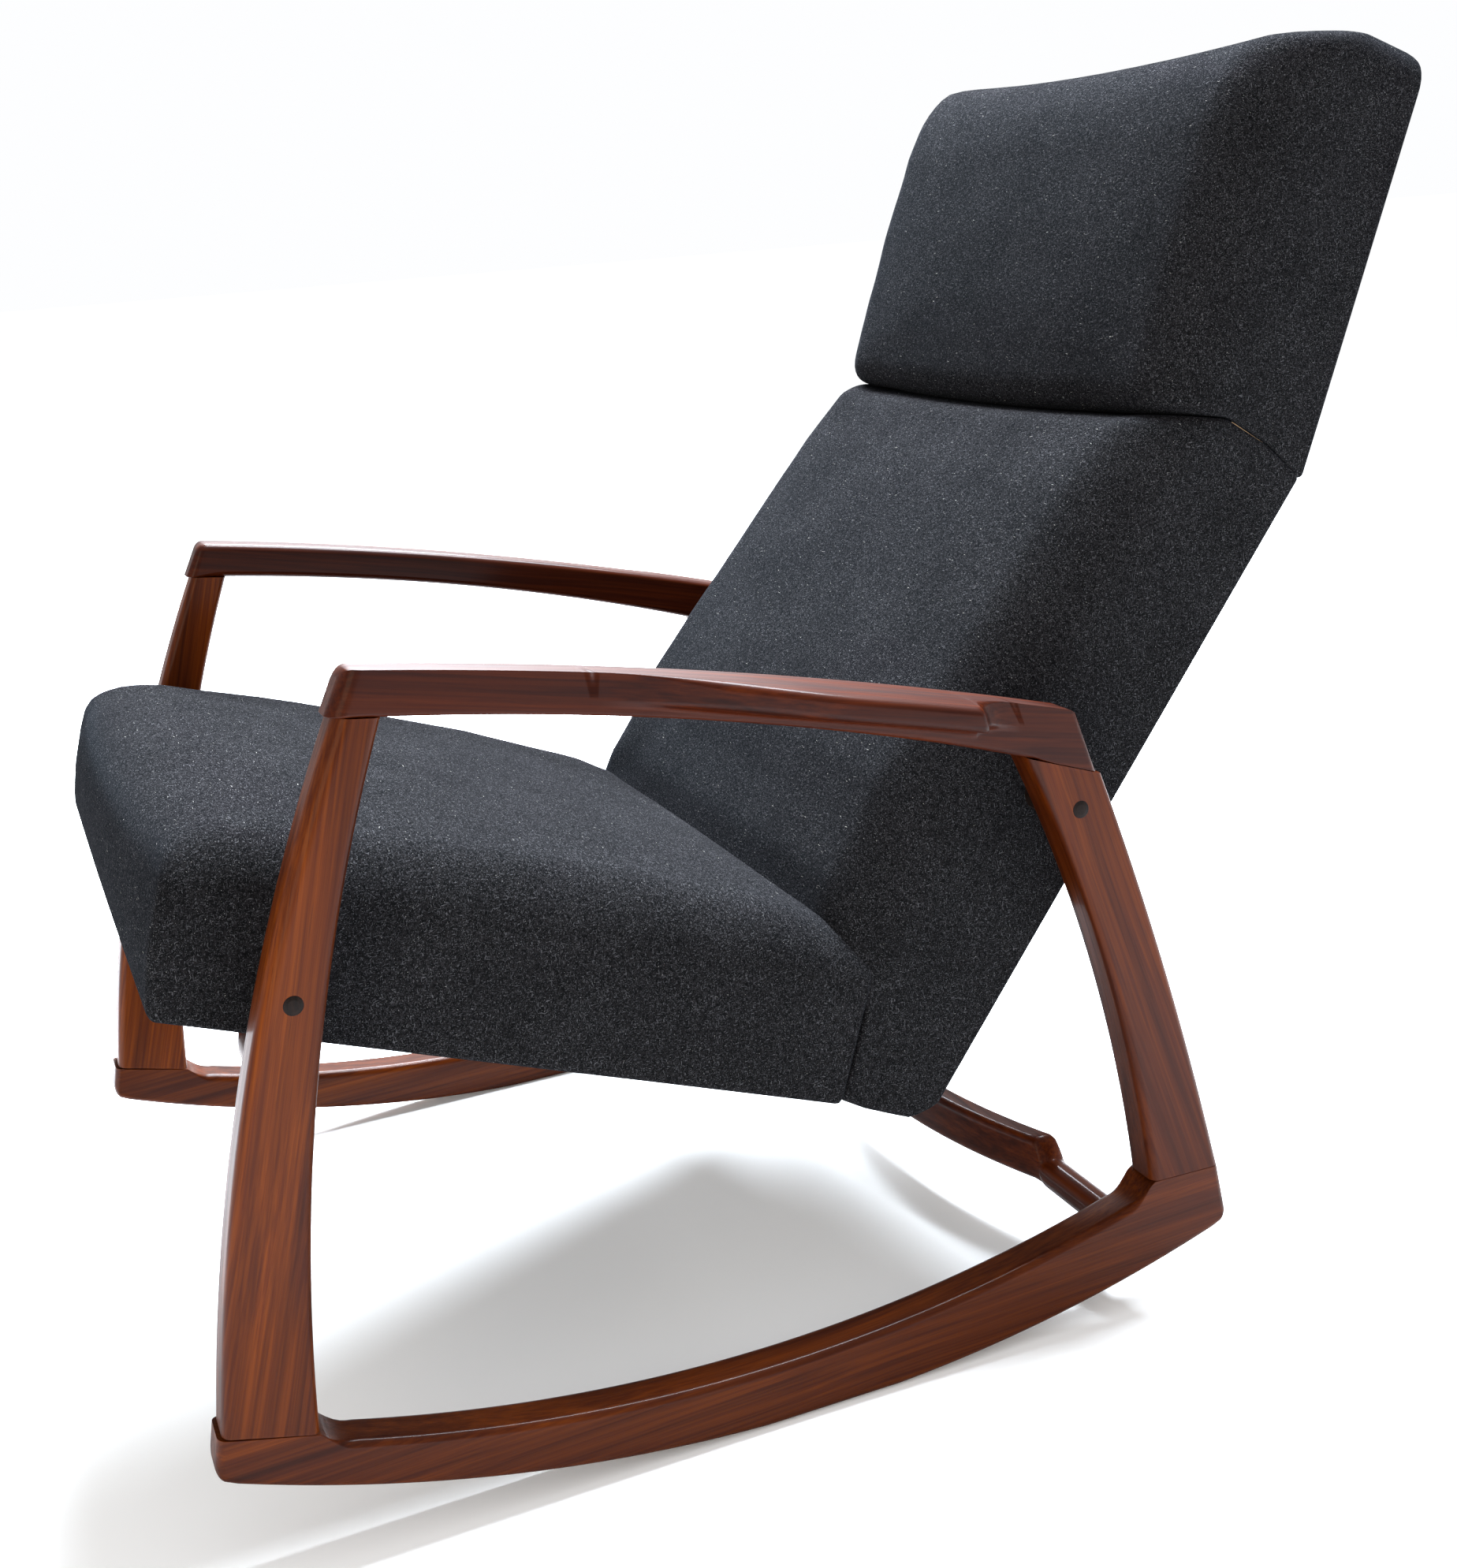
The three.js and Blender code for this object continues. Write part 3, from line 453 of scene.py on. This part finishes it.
ROCKER_FRONT, ROCKER_REAR = -436.0, 326.0
ROCKER_EDGE, ROCKER_NOSE = 6.0, 10.0
END_RUN = 60.0
FRONT_HOLLOW, REAR_HOLLOW = (-367.8, -341.8), (260.0, 234.0)
REST_HEIGHT = 3.65


def hollow(y, start, end, foot_height, depth):
    """The concave passage from a foot down to the rocker's top."""
    share = (y - start) / (end - start)
    dip = depth * math.sin(math.pi * share) * (1 - 0.5 * share)
    return lerp(foot_height, runner_top(end), share) - dip


def at_front(y):
    return 1 - smooth(ROCKER_FRONT, ROCKER_FRONT + END_RUN, y)


def at_rear(y):
    return smooth(ROCKER_REAR - END_RUN, ROCKER_REAR, y)


def rocker_top(y):
    y += 5 * at_front(y) - 6.4 * at_rear(y)
    if y < FRONT_HOLLOW[0]:
        return lerp(*FRONT_FOOT, (y + 431) / 63.2)
    if y < FRONT_HOLLOW[1]:
        return hollow(y, *FRONT_HOLLOW, FRONT_FOOT[1], 4.2)
    if y > REAR_HOLLOW[0]:
        return lerp(*REAR_FOOT, (y - REAR_HOLLOW[0]) / 59.6)
    if y > REAR_HOLLOW[1]:
        return hollow(y, *REAR_HOLLOW, REAR_FOOT[0], 5.5)
    return runner_top(y)


def rocker_under(y):
    noses = rounding(y - ROCKER_FRONT, ROCKER_NOSE) + rounding(ROCKER_REAR - y, ROCKER_NOSE)
    return max(REST_HEIGHT, runner_under(y)) + noses


def rocker_lean(y, z):
    """The end faces slant a little towards the legs."""
    return y + at_front(y) * max(0.0, z - 85) * 0.175 - at_rear(y) * max(0.0, z - 56) * 0.145


def rocker_stations():
    ys = round_start(ROCKER_FRONT, ROCKER_EDGE, 6)
    for low, high, steps in ((ROCKER_FRONT + ROCKER_EDGE, -368, 8), (-368, -335, 8), (-335, 228, 60),
                             (228, 262, 8), (262, ROCKER_REAR - ROCKER_EDGE, 8)):
        ys += spread(low, high, steps)[1:]
    return ys + round_end(ROCKER_REAR, ROCKER_EDGE, 6)


def rocker_rings():
    rings = []
    for y in rocker_stations():
        inset = rounding(y - ROCKER_FRONT, ROCKER_EDGE) + rounding(ROCKER_REAR - y, ROCKER_EDGE)
        free = smooth(-366, -348, y) * (1 - smooth(240, 258, y))
        soft = 0.0004 + 0.0058 * free
        low, high = rocker_under(y), rocker_top(y)
        xs = (INNER + inset, OUTER - inset)
        places = ((xs[0], low), (xs[0], high), (xs[1], high), (xs[1], low))
        corners = [point(x, rocker_lean(y, z), z) for x, z in places]
        rings.append(rounded(corners, [0.006, soft, soft, 0.006]))
    return rings


LIP = dict(reach=28.0, height=18.0, droop=3.5, start=-138.0, full=50.0, end=127.0, scoop=37.0, edge=6)
SCOOP_PARTS = (0.01, 0.03, 0.06, 0.1, 0.16, 0.24, 0.34, 0.46, 0.6, 0.76, 0.92, 1)
ARM_FRONT, ARM_REAR = (-312.0, -298.4), (231.0, 216.1)  # end faces, low and high
ARM_EDGE, ARM_NOSE = 6.5, 12.0


def lip_reach(y):
    """How far the outer lip stands out, with its scooped end and the small rounding before it."""
    past = y - LIP["end"]
    if past > LIP["scoop"]:
        return 0.0
    if past > 0:
        left = 1 - past / LIP["scoop"]
        return LIP["reach"] * 0.9 * (1 - math.sqrt(max(0.0, 1 - left * left)))
    reach = LIP["reach"] * smooth(LIP["start"], LIP["full"], y)
    if -past < LIP["edge"]:
        reach -= 5 * (1 - math.sqrt(max(0.0, 1 - (1 + past / LIP["edge"]) ** 2)))
    return reach


def arm_stations():
    ys = round_start(ARM_FRONT[1], ARM_NOSE, 9)
    ys += spread(ARM_FRONT[1] + ARM_NOSE, LIP["end"] - LIP["edge"], 70)[1:]
    ys += round_end(LIP["end"], LIP["edge"], 6)
    ys += [LIP["end"] + LIP["scoop"] * part for part in SCOOP_PARTS]
    ys += spread(LIP["end"] + LIP["scoop"], ARM_REAR[1] - ARM_EDGE, 10)[1:]
    return ys + round_end(ARM_REAR[1], ARM_EDGE, 6)


def arm_places(y, low, reach):
    """Section of the armrest: the inner side, over the top to the lip, and back under it."""
    inset = rounding(y - ARM_FRONT[1], ARM_EDGE) + rounding(ARM_REAR[1] - y, ARM_EDGE)
    outer = OUTER - (rounding(y - ARM_FRONT[1], ARM_NOSE) if y < 0 else inset)
    droop = LIP["droop"] * reach / LIP["reach"]
    top, under = arm_top(y) - inset, arm_under(low)
    foot = top - droop - LIP["height"]
    return [
        (INNER + inset, under),
        (INNER + inset, top),
        (outer, top - droop * 0.3),
        (outer + reach, top - droop),
        (outer + reach, foot),
        (outer + reach * 0.45, foot - 2.5),
        (outer, foot - 5),
        (outer, under),
    ]


def arm_radii(y, reach):
    joint = 1 - smooth(-300, -270, y) * (1 - smooth(160, 185, y))
    under_edge = 0.0004 + 0.005 * (1 - joint)
    flat = 0.006 * (1 - smooth(0, 10, reach))
    soft = 0.0005 + 0.0045 * smooth(0, 14, reach)
    tip = 0.006 if reach > 0.1 else 0.0004
    return [under_edge, 0.006, 0.0002 + flat, tip, soft, soft, 0.006 * smooth(2, 14, reach) + 0.0003,
            under_edge]


def arm_rings():
    rings = []
    for y in arm_stations():
        share = (y - ARM_FRONT[1]) / (ARM_REAR[1] - ARM_FRONT[1])
        low = lerp(ARM_FRONT[0], ARM_REAR[0], share)
        under = arm_under(low)
        lean = (y - low) / (arm_top(y) - under)
        reach = lip_reach(y)
        corners = [point(x, low + (z - under) * lean, z) for x, z in arm_places(y, low, reach)]
        rings.append(rounded(corners, arm_radii(y, reach), 5))
    return rings


def mirrored(rings):
    return [[Vector((-v.x, v.y, v.z)) for v in reversed(ring)] for ring in rings]


def add_frames():
    legs_front = leg_rings(front_leg_front, front_leg_rear, FRONT_FOOT, [(0, 6), (0.5, 8), (1, 12)])
    legs_rear = leg_rings(rear_leg_front, rear_leg_rear, REAR_FOOT, [(0, 6.5), (1, 6.5)])
    # Each member: its rings, and the slope of its grain, its golden share, partly the teak's own hue and
    # partly painted warm light on the lower members, and its tone, painted shade that darkens each member's
    # copy of the one teak, most on the armrests.
    members = {
        "rocker": (rocker_rings(), 2, 0.85, 0.62),
        "front_leg": (legs_front, 76, 0.95, 0.85),
        "rear_leg": (legs_rear, -73, 0.65, 0.6),
        "armrest": (arm_rings(), -12, 0.15, 0.42),
    }
    seed = 0
    for side in ("left", "right"):
        for name, (rings, slope, golden_hue_and_warm_light, painted_shade_tone) in members.items():
            seed += 1
            node = f"{name}_{side}"
            material = wood(f"teak_{node}", in_side(slope), seed * 1.37, golden_hue_and_warm_light, painted_shade_tone)
            verts, faces = skin(rings if side == "left" else mirrored(rings))
            weighted(new_piece(f"{node}_shaped", verts, faces, material, [node], sharp=50))


# ---------------------------------------------------------------- stretchers
# Each stretcher: its place, how far its middle bows, and how far it rises past the round ends.
STRETCHERS = {"front_stretcher": (-363.5, 316.0, 24.0, 0.0), "rear_stretcher": (245.0, 60.0, -40.0, 11.0)}
SHOULDER = 216.0
HALF_STATIONS = [309.0, 300, 285, 265, 245, 232, 225, 221.5, 219.5, 218, 217, 216.2, 215.4, 214, 211.5, 208,
                 202, 194, 182] + spread(165, 10, 17)


def oval(value, power):
    """One axis of a rounded box outline, round at power 2 and squarer above it."""
    return math.copysign(abs(value) ** (2 / power), value)


def stretcher_ring(x, y, z, bow, rise):
    grow = 1 - smooth(209, 221, abs(x))
    high, deep = lerp(12.3, 18.3, grow), lerp(12.3, 11, grow)
    power = lerp(2.0, 4.2, smooth(0.2, 1, grow))
    shift = bow * max(0.0, 1 - (x / SHOULDER) ** 2)
    angles = [2 * math.pi * k / 32 for k in range(32)]
    return [point(x, y + shift + deep * oval(math.cos(a), power),
                  z + rise * grow + high * oval(math.sin(a), power)) for a in angles]


def add_stretchers():
    across = (0, 0, QUARTER)
    for name, shape in STRETCHERS.items():
        stations = HALF_STATIONS + [-x for x in reversed(HALF_STATIONS)]
        verts, faces = skin([stretcher_ring(x, *shape) for x in stations])
        # 0.4 is the golden share, partly painted warm light, and 0.6 the tone, painted shade.
        material = wood(f"teak_{name}", across, 3.1, 0.4, 0.6)
        weighted(new_piece(f"{name}_shaped", verts, faces, material, [name], sharp=60))


# ---------------------------------------------------------------- upholstery
def slope_up(lean):
    """Direction in the side plane that leans back from upright by some degrees."""
    return (math.sin(math.radians(lean)), math.cos(math.radians(lean)))


def on_slope(foot, up):
    """Places (x, along, out) from a sloping line in the side plane."""
    def place(x, along, out):
        return point(x, foot[0] + up[0] * along - up[1] * out, foot[1] + up[1] * along + up[0] * out)
    return place


SEAT_SLOPE = math.radians(20.33)
on_seat = on_slope((-435.8, 373.7), (math.cos(SEAT_SLOPE), -math.sin(SEAT_SLOPE)))
BACK_FOOT, BACK_UP, BACK_LENGTH = (153.1, 231.9), slope_up(38.95), 494.3
on_back = on_slope(BACK_FOOT, BACK_UP)
on_head = on_slope([foot + up * BACK_LENGTH for foot, up in zip(BACK_FOOT, BACK_UP)], slope_up(23.2))
HALF = 287.0
SIDE_SLACK = 1.5  # the sides stay this far inside the full half width
FULLNESS = 2.0  # every crown stands this much over its plain outline
FLAT_INSET, FLAT_STEP = 6.8, 4.6  # the flat face is sunk inside the cover's edge
FOOT_RADIUS = 4.2


def section(inset, low, side, full, crown, corner, recess):
    """Half outline of a cushion across its length, from the middle of its flat face round to its crown."""
    half = HALF - SIDE_SLACK - inset
    edge = half - FLAT_INSET
    face = low + recess * FLAT_STEP
    points = [(edge * t, face) for t in spread(0, 1, 9)]
    points += [(edge + 0.3, lerp(face, low, 0.8)), (edge + 1.2, low)]
    for k in range(1, 6):
        a = QUARTER * k / 5
        points.append((half - FOOT_RADIUS * (1 - math.sin(a)), low + FOOT_RADIUS * (1 - math.cos(a))))
    for t in spread(0, 1, 14)[1:]:
        points.append((half, lerp(low + FOOT_RADIUS, side, t)))
    rise = full - crown - side
    for k in range(1, 15):
        a = QUARTER * k / 14
        points.append((half - corner * (1 - math.cos(a)), side + rise * math.sin(a)))
    for t in spread(1, 0, 16)[1:]:
        points.append(((half - corner) * t, full - crown * t * t))
    return points


END_SHRINKS = (0.97, 0.92, 0.84, 0.74, 0.62, 0.48, 0.32, 0.12)


def end_loops(loop):
    """Smaller and smaller copies of a loop, to close the end of a cushion."""
    middle = (min(p[2] for p in loop) + max(p[2] for p in loop)) / 2
    return [[(x * shrink, a, middle + (o - middle) * shrink) for x, a, o in loop] for shrink in END_SHRINKS]


def cushion(name, place, rings, warp, material, nodes, cap):
    """A closed padded piece. Rings are (x, along, out) right halves, and a warp bends the finished form."""
    loops = [list(half) + [(-x, a, o) for x, a, o in reversed(half[1:-1])] for half in rings]
    loops = list(reversed(end_loops(loops[0]))) + loops + end_loops(loops[-1])
    verts, faces = skin([[place(*warp(*p)) for p in loop] for loop in loops])
    obj = new_piece(name, verts, faces, material, nodes)
    swell(obj, place, cap / 1000)
    return obj


VOXEL = 0.011
HELD_BELOW, FREE_ABOVE = 12, 45  # distances from the flat face
PRESSURE, CLOTH_STEPS = 4, 20
TYPICAL = 0.97  # share of the movement that stays under the cap
NEIGHBOURS, NEAR = 8, 0.003


def remeshed(obj):
    """A copy with even faces, which cloth can be inflated on."""
    trial = bpy.data.objects.new("trial", obj.data.copy())
    scene.collection.objects.link(trial)
    remesh = trial.modifiers.new("remesh", "REMESH")
    remesh.mode = "VOXEL"
    remesh.voxel_size = VOXEL
    even = bpy.data.meshes.new_from_object(trial.evaluated_get(bpy.context.evaluated_depsgraph_get()))
    trial.modifiers.clear()
    trial.data = even
    return trial


def inflate(trial, place, start):
    """Blow a copy up as cloth, held at its flat face, and return how each vertex moved."""
    origin = place(0, 0, 0)
    out = (place(0, 0, 1000) - origin).normalized()
    pins = trial.vertex_groups.new(name="held")
    for index, co in enumerate(start):
        held = 1 - smooth(HELD_BELOW, FREE_ABOVE, (co - origin).dot(out) * 1000)
        if held > 0:
            pins.add([index], held, "REPLACE")
    cloth = trial.modifiers.new("cloth", "CLOTH")
    cloth.settings.vertex_group_mass = "held"
    cloth.settings.use_pressure = True
    cloth.settings.uniform_pressure_force = PRESSURE
    cloth.settings.effector_weights.gravity = 0
    cloth.settings.quality = 4
    cloth.point_cache.frame_end = CLOTH_STEPS
    for step in range(1, CLOTH_STEPS + 1):
        scene.frame_set(step)
    ended = trial.evaluated_get(bpy.context.evaluated_depsgraph_get()).to_mesh()
    return [ended.vertices[i].co - co for i, co in enumerate(start)]


def nearby_move(tree, moved, co):
    """Mean movement of the nearest cloth vertices, the closest counting most."""
    total, weight = Vector(), 0.0
    for _, index, distance in tree.find_n(co, NEIGHBOURS):
        share = 1 / (distance + NEAR)
        total += moved[index] * share
        weight += share
    return total / weight


def swell(obj, place, cap):
    """Inflate a remeshed copy, then carry its movement back to the padded piece, up to a cap."""
    trial = remeshed(obj)
    start = [v.co.copy() for v in trial.data.vertices]
    moved = inflate(trial, place, start)
    tree = KDTree(len(start))
    for index, co in enumerate(start):
        tree.insert(co, index)
    tree.balance()
    reach = sorted(m.length for m in moved)[int(len(moved) * TYPICAL)] or 1.0
    gain = cap / reach
    for vertex in obj.data.vertices:
        push = nearby_move(tree, moved, vertex.co) * gain
        if push.length > cap:
            push = push.normalized() * cap
        vertex.co += push
    scene.frame_set(1)
    bpy.data.objects.remove(trial)


SEAT_TOPS = [(0, 110), (12, 118), (24, 122.5), (42, 126), (80, 129), (130, 132), (229, 135), (318, 136),
             (435, 130), (503, 118)]
SEAT_FRONT = [(0, 0), (14, 0.3), (40, 0.72), (70, 0.97), (88, 1.0), (100, 0.8), (112, 0.4), (126, 0)]
SEAT_LENGTH = 503
SEAT_ALONGS = ([0, 0.4, 1.3, 2.8, 4.6, 6.2, 7.2, 9, 12, 16, 21, 27, 34, 42] + spread(52, 480, 40)
               + [488, 494, 496.2, 497.4, 500, 502, SEAT_LENGTH])


def seat_warp(x, a, o):
    """The front face bulges forward, most at its middle."""
    camber = 27 - 15 * (x / HALF) ** 2
    return x, a - camber * table(SEAT_FRONT, o) * (1 - smooth(0, 60, a)), o


def add_seat(material):
    rings = []
    for a in SEAT_ALONGS:
        rear = SEAT_LENGTH - a
        side = rounding(a, 7) + rounding(rear, 5)
        low = -1.6 + rounding(a, 6) + rounding(rear, 5)
        recess = smooth(6.2, 7.2, a) * smooth(6.2, 7.2, rear)
        full = table(SEAT_TOPS, a) + FULLNESS - rounding(a, 7) - rounding(rear, 5)
        flat = 88 - 14 * (1 - smooth(0, 42, a))
        rings.append([(x, a, o) for x, o in section(side, low, flat, full, 2, 46 - side, recess)])
    return cushion("seat_padded", on_seat, rings, seat_warp, material, ["seat_cushion"], 5)


def seam_low(out):
    """Top of the lower back at a depth, in its own slope."""
    return table([(0, 485), (39, 489), (80, 486), (128, 460), (150, 455)], out)


def seam_high(out):
    """Foot of the headrest at a depth, in its own slope."""
    return table([(0, -11), (39, 6), (79, 14), (133, 1), (150, -2)], out)


BACK_LOW, BACK_HIGH = -99.0, 486.0
SEAT_REAR, REAR_RISE = 70.5, 0.3193  # where the seat's rear face starts, and its rise in the back's slope


def seat_face(x, out):
    """Foot of the back: its bottom, then up the rear of the seat, then over the seat's top."""
    top = 116 - 40 * smooth(215, HALF, abs(x)) ** 2
    crest = SEAT_REAR + REAR_RISE * top
    if out <= SEAT_REAR:
        return table([(0, -72), (13, -86), (50, -96), (SEAT_REAR, BACK_LOW)], out)
    if out <= crest:
        return BACK_LOW + (out - SEAT_REAR) / REAR_RISE * 0.9477 + 1
    return BACK_LOW + 0.9477 * top + 1 - (out - crest) * 0.3369


def sag(x, out):
    """How far the seam between back and headrest sags at the middle."""
    return 9 * smooth(60, 130, out) * (1 - (x / HALF) ** 2)


BACK_FRONTS = [(-99, 143), (-60, 150), (0, 152), (68, 157), (169, 155), (297, 150), (412, 145), (459, 139),
               (486, 136)]
NEAR_END = [0, 0.5, 1.4, 3, 5, 8, 12, 17, 23, 30]


def back_warp(x, a, o):
    """The lower end takes the seat's form and the upper end the seam's."""
    up = smooth(150, BACK_HIGH, a)
    down = 1 - smooth(BACK_LOW, 250, a)
    return x, a + up * (seam_low(o) - sag(x, o) - BACK_HIGH) + down * (seat_face(x, o) - BACK_LOW), o


def add_back(material):
    rings = []
    alongs = [BACK_LOW + d for d in NEAR_END] + spread(BACK_LOW + 40, BACK_HIGH - 40, 44)
    alongs += [BACK_HIGH - d for d in reversed(NEAR_END)]
    for a in alongs:
        low_end, high_end = a - BACK_LOW, BACK_HIGH - a
        side = rounding(low_end, 6) + rounding(high_end, 5)
        low = -2.2 + rounding(low_end, 9) + rounding(high_end, 3)
        full = table(BACK_FRONTS, a) + FULLNESS - rounding(low_end, 6) - rounding(high_end, 18)
        recess = smooth(-66, -58, a)
        rings.append([(x, a, o) for x, o in section(side, low, 84, full, 2, 55 - side, recess)])
    return cushion("back_padded", on_back, rings, back_warp, material, ["back_cushion"], 5)


HEAD_HIGH = 337.0
HEAD_FRONTS = [(0, 139), (30, 143), (84, 147), (146, 150), (229, 150), (262, 146), (282, 140), (302, 129),
               (313, 113), (321, 96), (331, 74), (337, 56)]
FAR_END = [0, 0.4, 1.2, 2.6, 4.6, 7.5, 11, 15, 20, 26, 33, 41, 50, 60]


def head_warp(x, a, o):
    """The lower end takes the seam's form, and the top edge dips at its middle."""
    low = 1 - smooth(0, 160, a)
    dip = 13 * (1 - (x / HALF) ** 2) * smooth(180, HEAD_HIGH, a)
    return x, a + low * (seam_high(o) - sag(x, o)) - dip, o


def add_headrest(material):
    rings = []
    alongs = NEAR_END + spread(38, HEAD_HIGH - 72, 24) + [HEAD_HIGH - d for d in reversed(FAR_END)]
    for a in alongs:
        high_end = HEAD_HIGH - a
        side = rounding(a, 5) + rounding(high_end, 36)
        low = -2.2 + rounding(a, 3) + rounding(high_end, 14) * 1.5
        full = table(HEAD_FRONTS, a) + FULLNESS * (1 - smooth(300, HEAD_HIGH, a)) - rounding(a, 24)
        recess = 1 - smooth(300, 309, a)
        depth = max(full, low + 12)
        flat, crown = min(86, depth * 0.64), min(2, depth * 0.03)
        rings.append([(x, a, o) for x, o in section(side, low, flat, depth, crown, 50, recess)])
    return cushion("headrest_padded", on_head, rings, head_warp, material, ["headrest_cushion"], 4)


# ---------------------------------------------------------------- carried nodes
def finish_nodes():
    plain = plain_wood("beech_plain")
    cloth = lining("lining_weave")
    zinc = metal("zinc", linear(120, 122, 124), linear(168, 170, 172), 0.35)
    brass = metal("brass_turned", linear(140, 112, 58), linear(186, 152, 88), 0.35)
    plugs = black_plug("plug_front", 0.3), black_plug("plug_rear", 0.5)
    # 0.5 is the golden share, partly painted warm light, and 0.7 the tone, painted shade.
    joints = wood("teak_tenon", in_side(80), 9.1, 0.5, 0.7)
    for name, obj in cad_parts.items():
        if name.startswith("front_plug"):
            material = plugs[0]
        elif name.startswith("rear_plug") or "spacer" in name:
            material = plugs[1]
        elif "bolt" in name:
            material = zinc
        elif "insert" in name:
            material = brass
        elif name.startswith("tenon"):
            material = joints
        elif "cloth" in name or "panel" in name or "webbing" in name:
            material = cloth
        else:
            material = plain
        obj.data.materials.clear()
        obj.data.materials.append(material)


# ---------------------------------------------------------------- stage
FLOOR_HALF = 80


def add_stage():
    """A wide pale floor that runs out to a bright sky."""
    corners = [(x * FLOOR_HALF, y * FLOOR_HALF, 0) for x, y in ((-1, -1), (1, -1), (1, 1), (-1, 1))]
    floor = bpy.data.meshes.new("floor")
    floor.from_pydata(corners, [], [(0, 1, 2, 3)])
    n = Nodes("floor_pale")
    n.bsdf.inputs["Base Color"].default_value = (0.93, 0.93, 0.93, 1)
    n.bsdf.inputs["Roughness"].default_value = 1.0
    n.bsdf.inputs["Specular IOR Level"].default_value = 0.0
    n.bsdf.inputs["Emission Color"].default_value = (1, 1, 1, 1)
    n.bsdf.inputs["Emission Strength"].default_value = 0.09
    floor.materials.append(n.mat)
    obj = bpy.data.objects.new("floor", floor)
    scene.collection.objects.link(obj)
    world = bpy.data.worlds.new("studio")
    world.use_nodes = True
    background = world.node_tree.nodes["Background"]
    background.inputs[0].default_value = (0.985, 0.99, 1.0, 1)
    background.inputs[1].default_value = 1.0
    scene.world = world


def add_light(name, place, target, size, power, colour):
    data = bpy.data.lights.new(name, "AREA")
    data.shape = "DISK"
    data.size = size
    data.energy = power
    data.color = colour
    obj = bpy.data.objects.new(name, data)
    scene.collection.objects.link(obj)
    obj.location = place
    obj.rotation_euler = (Vector(target) - Vector(place)).to_track_quat("-Z", "Y").to_euler()


def add_lights():
    add_light("window", (-2.4, 0.5, 2.5), (0, 0, 0.45), 1.3, 560, (0.84, 0.92, 1.0))
    add_light("sky", (-0.5, 0.9, 3.1), (0, 0, 0.4), 1.6, 640, (0.84, 0.92, 1.0))
    add_light("warm", (2.4, -2.4, 0.8), (0, 0, 0.2), 1.6, 24, (1.0, 0.84, 0.6))


add_camera()
add_stage()
add_lights()
finish_nodes()
add_frames()
add_stretchers()
WOOL = felt("wool_felt")
add_seat(WOOL)
add_back(WOOL)
add_headrest(WOOL)
scene.view_settings.view_transform = "Standard"
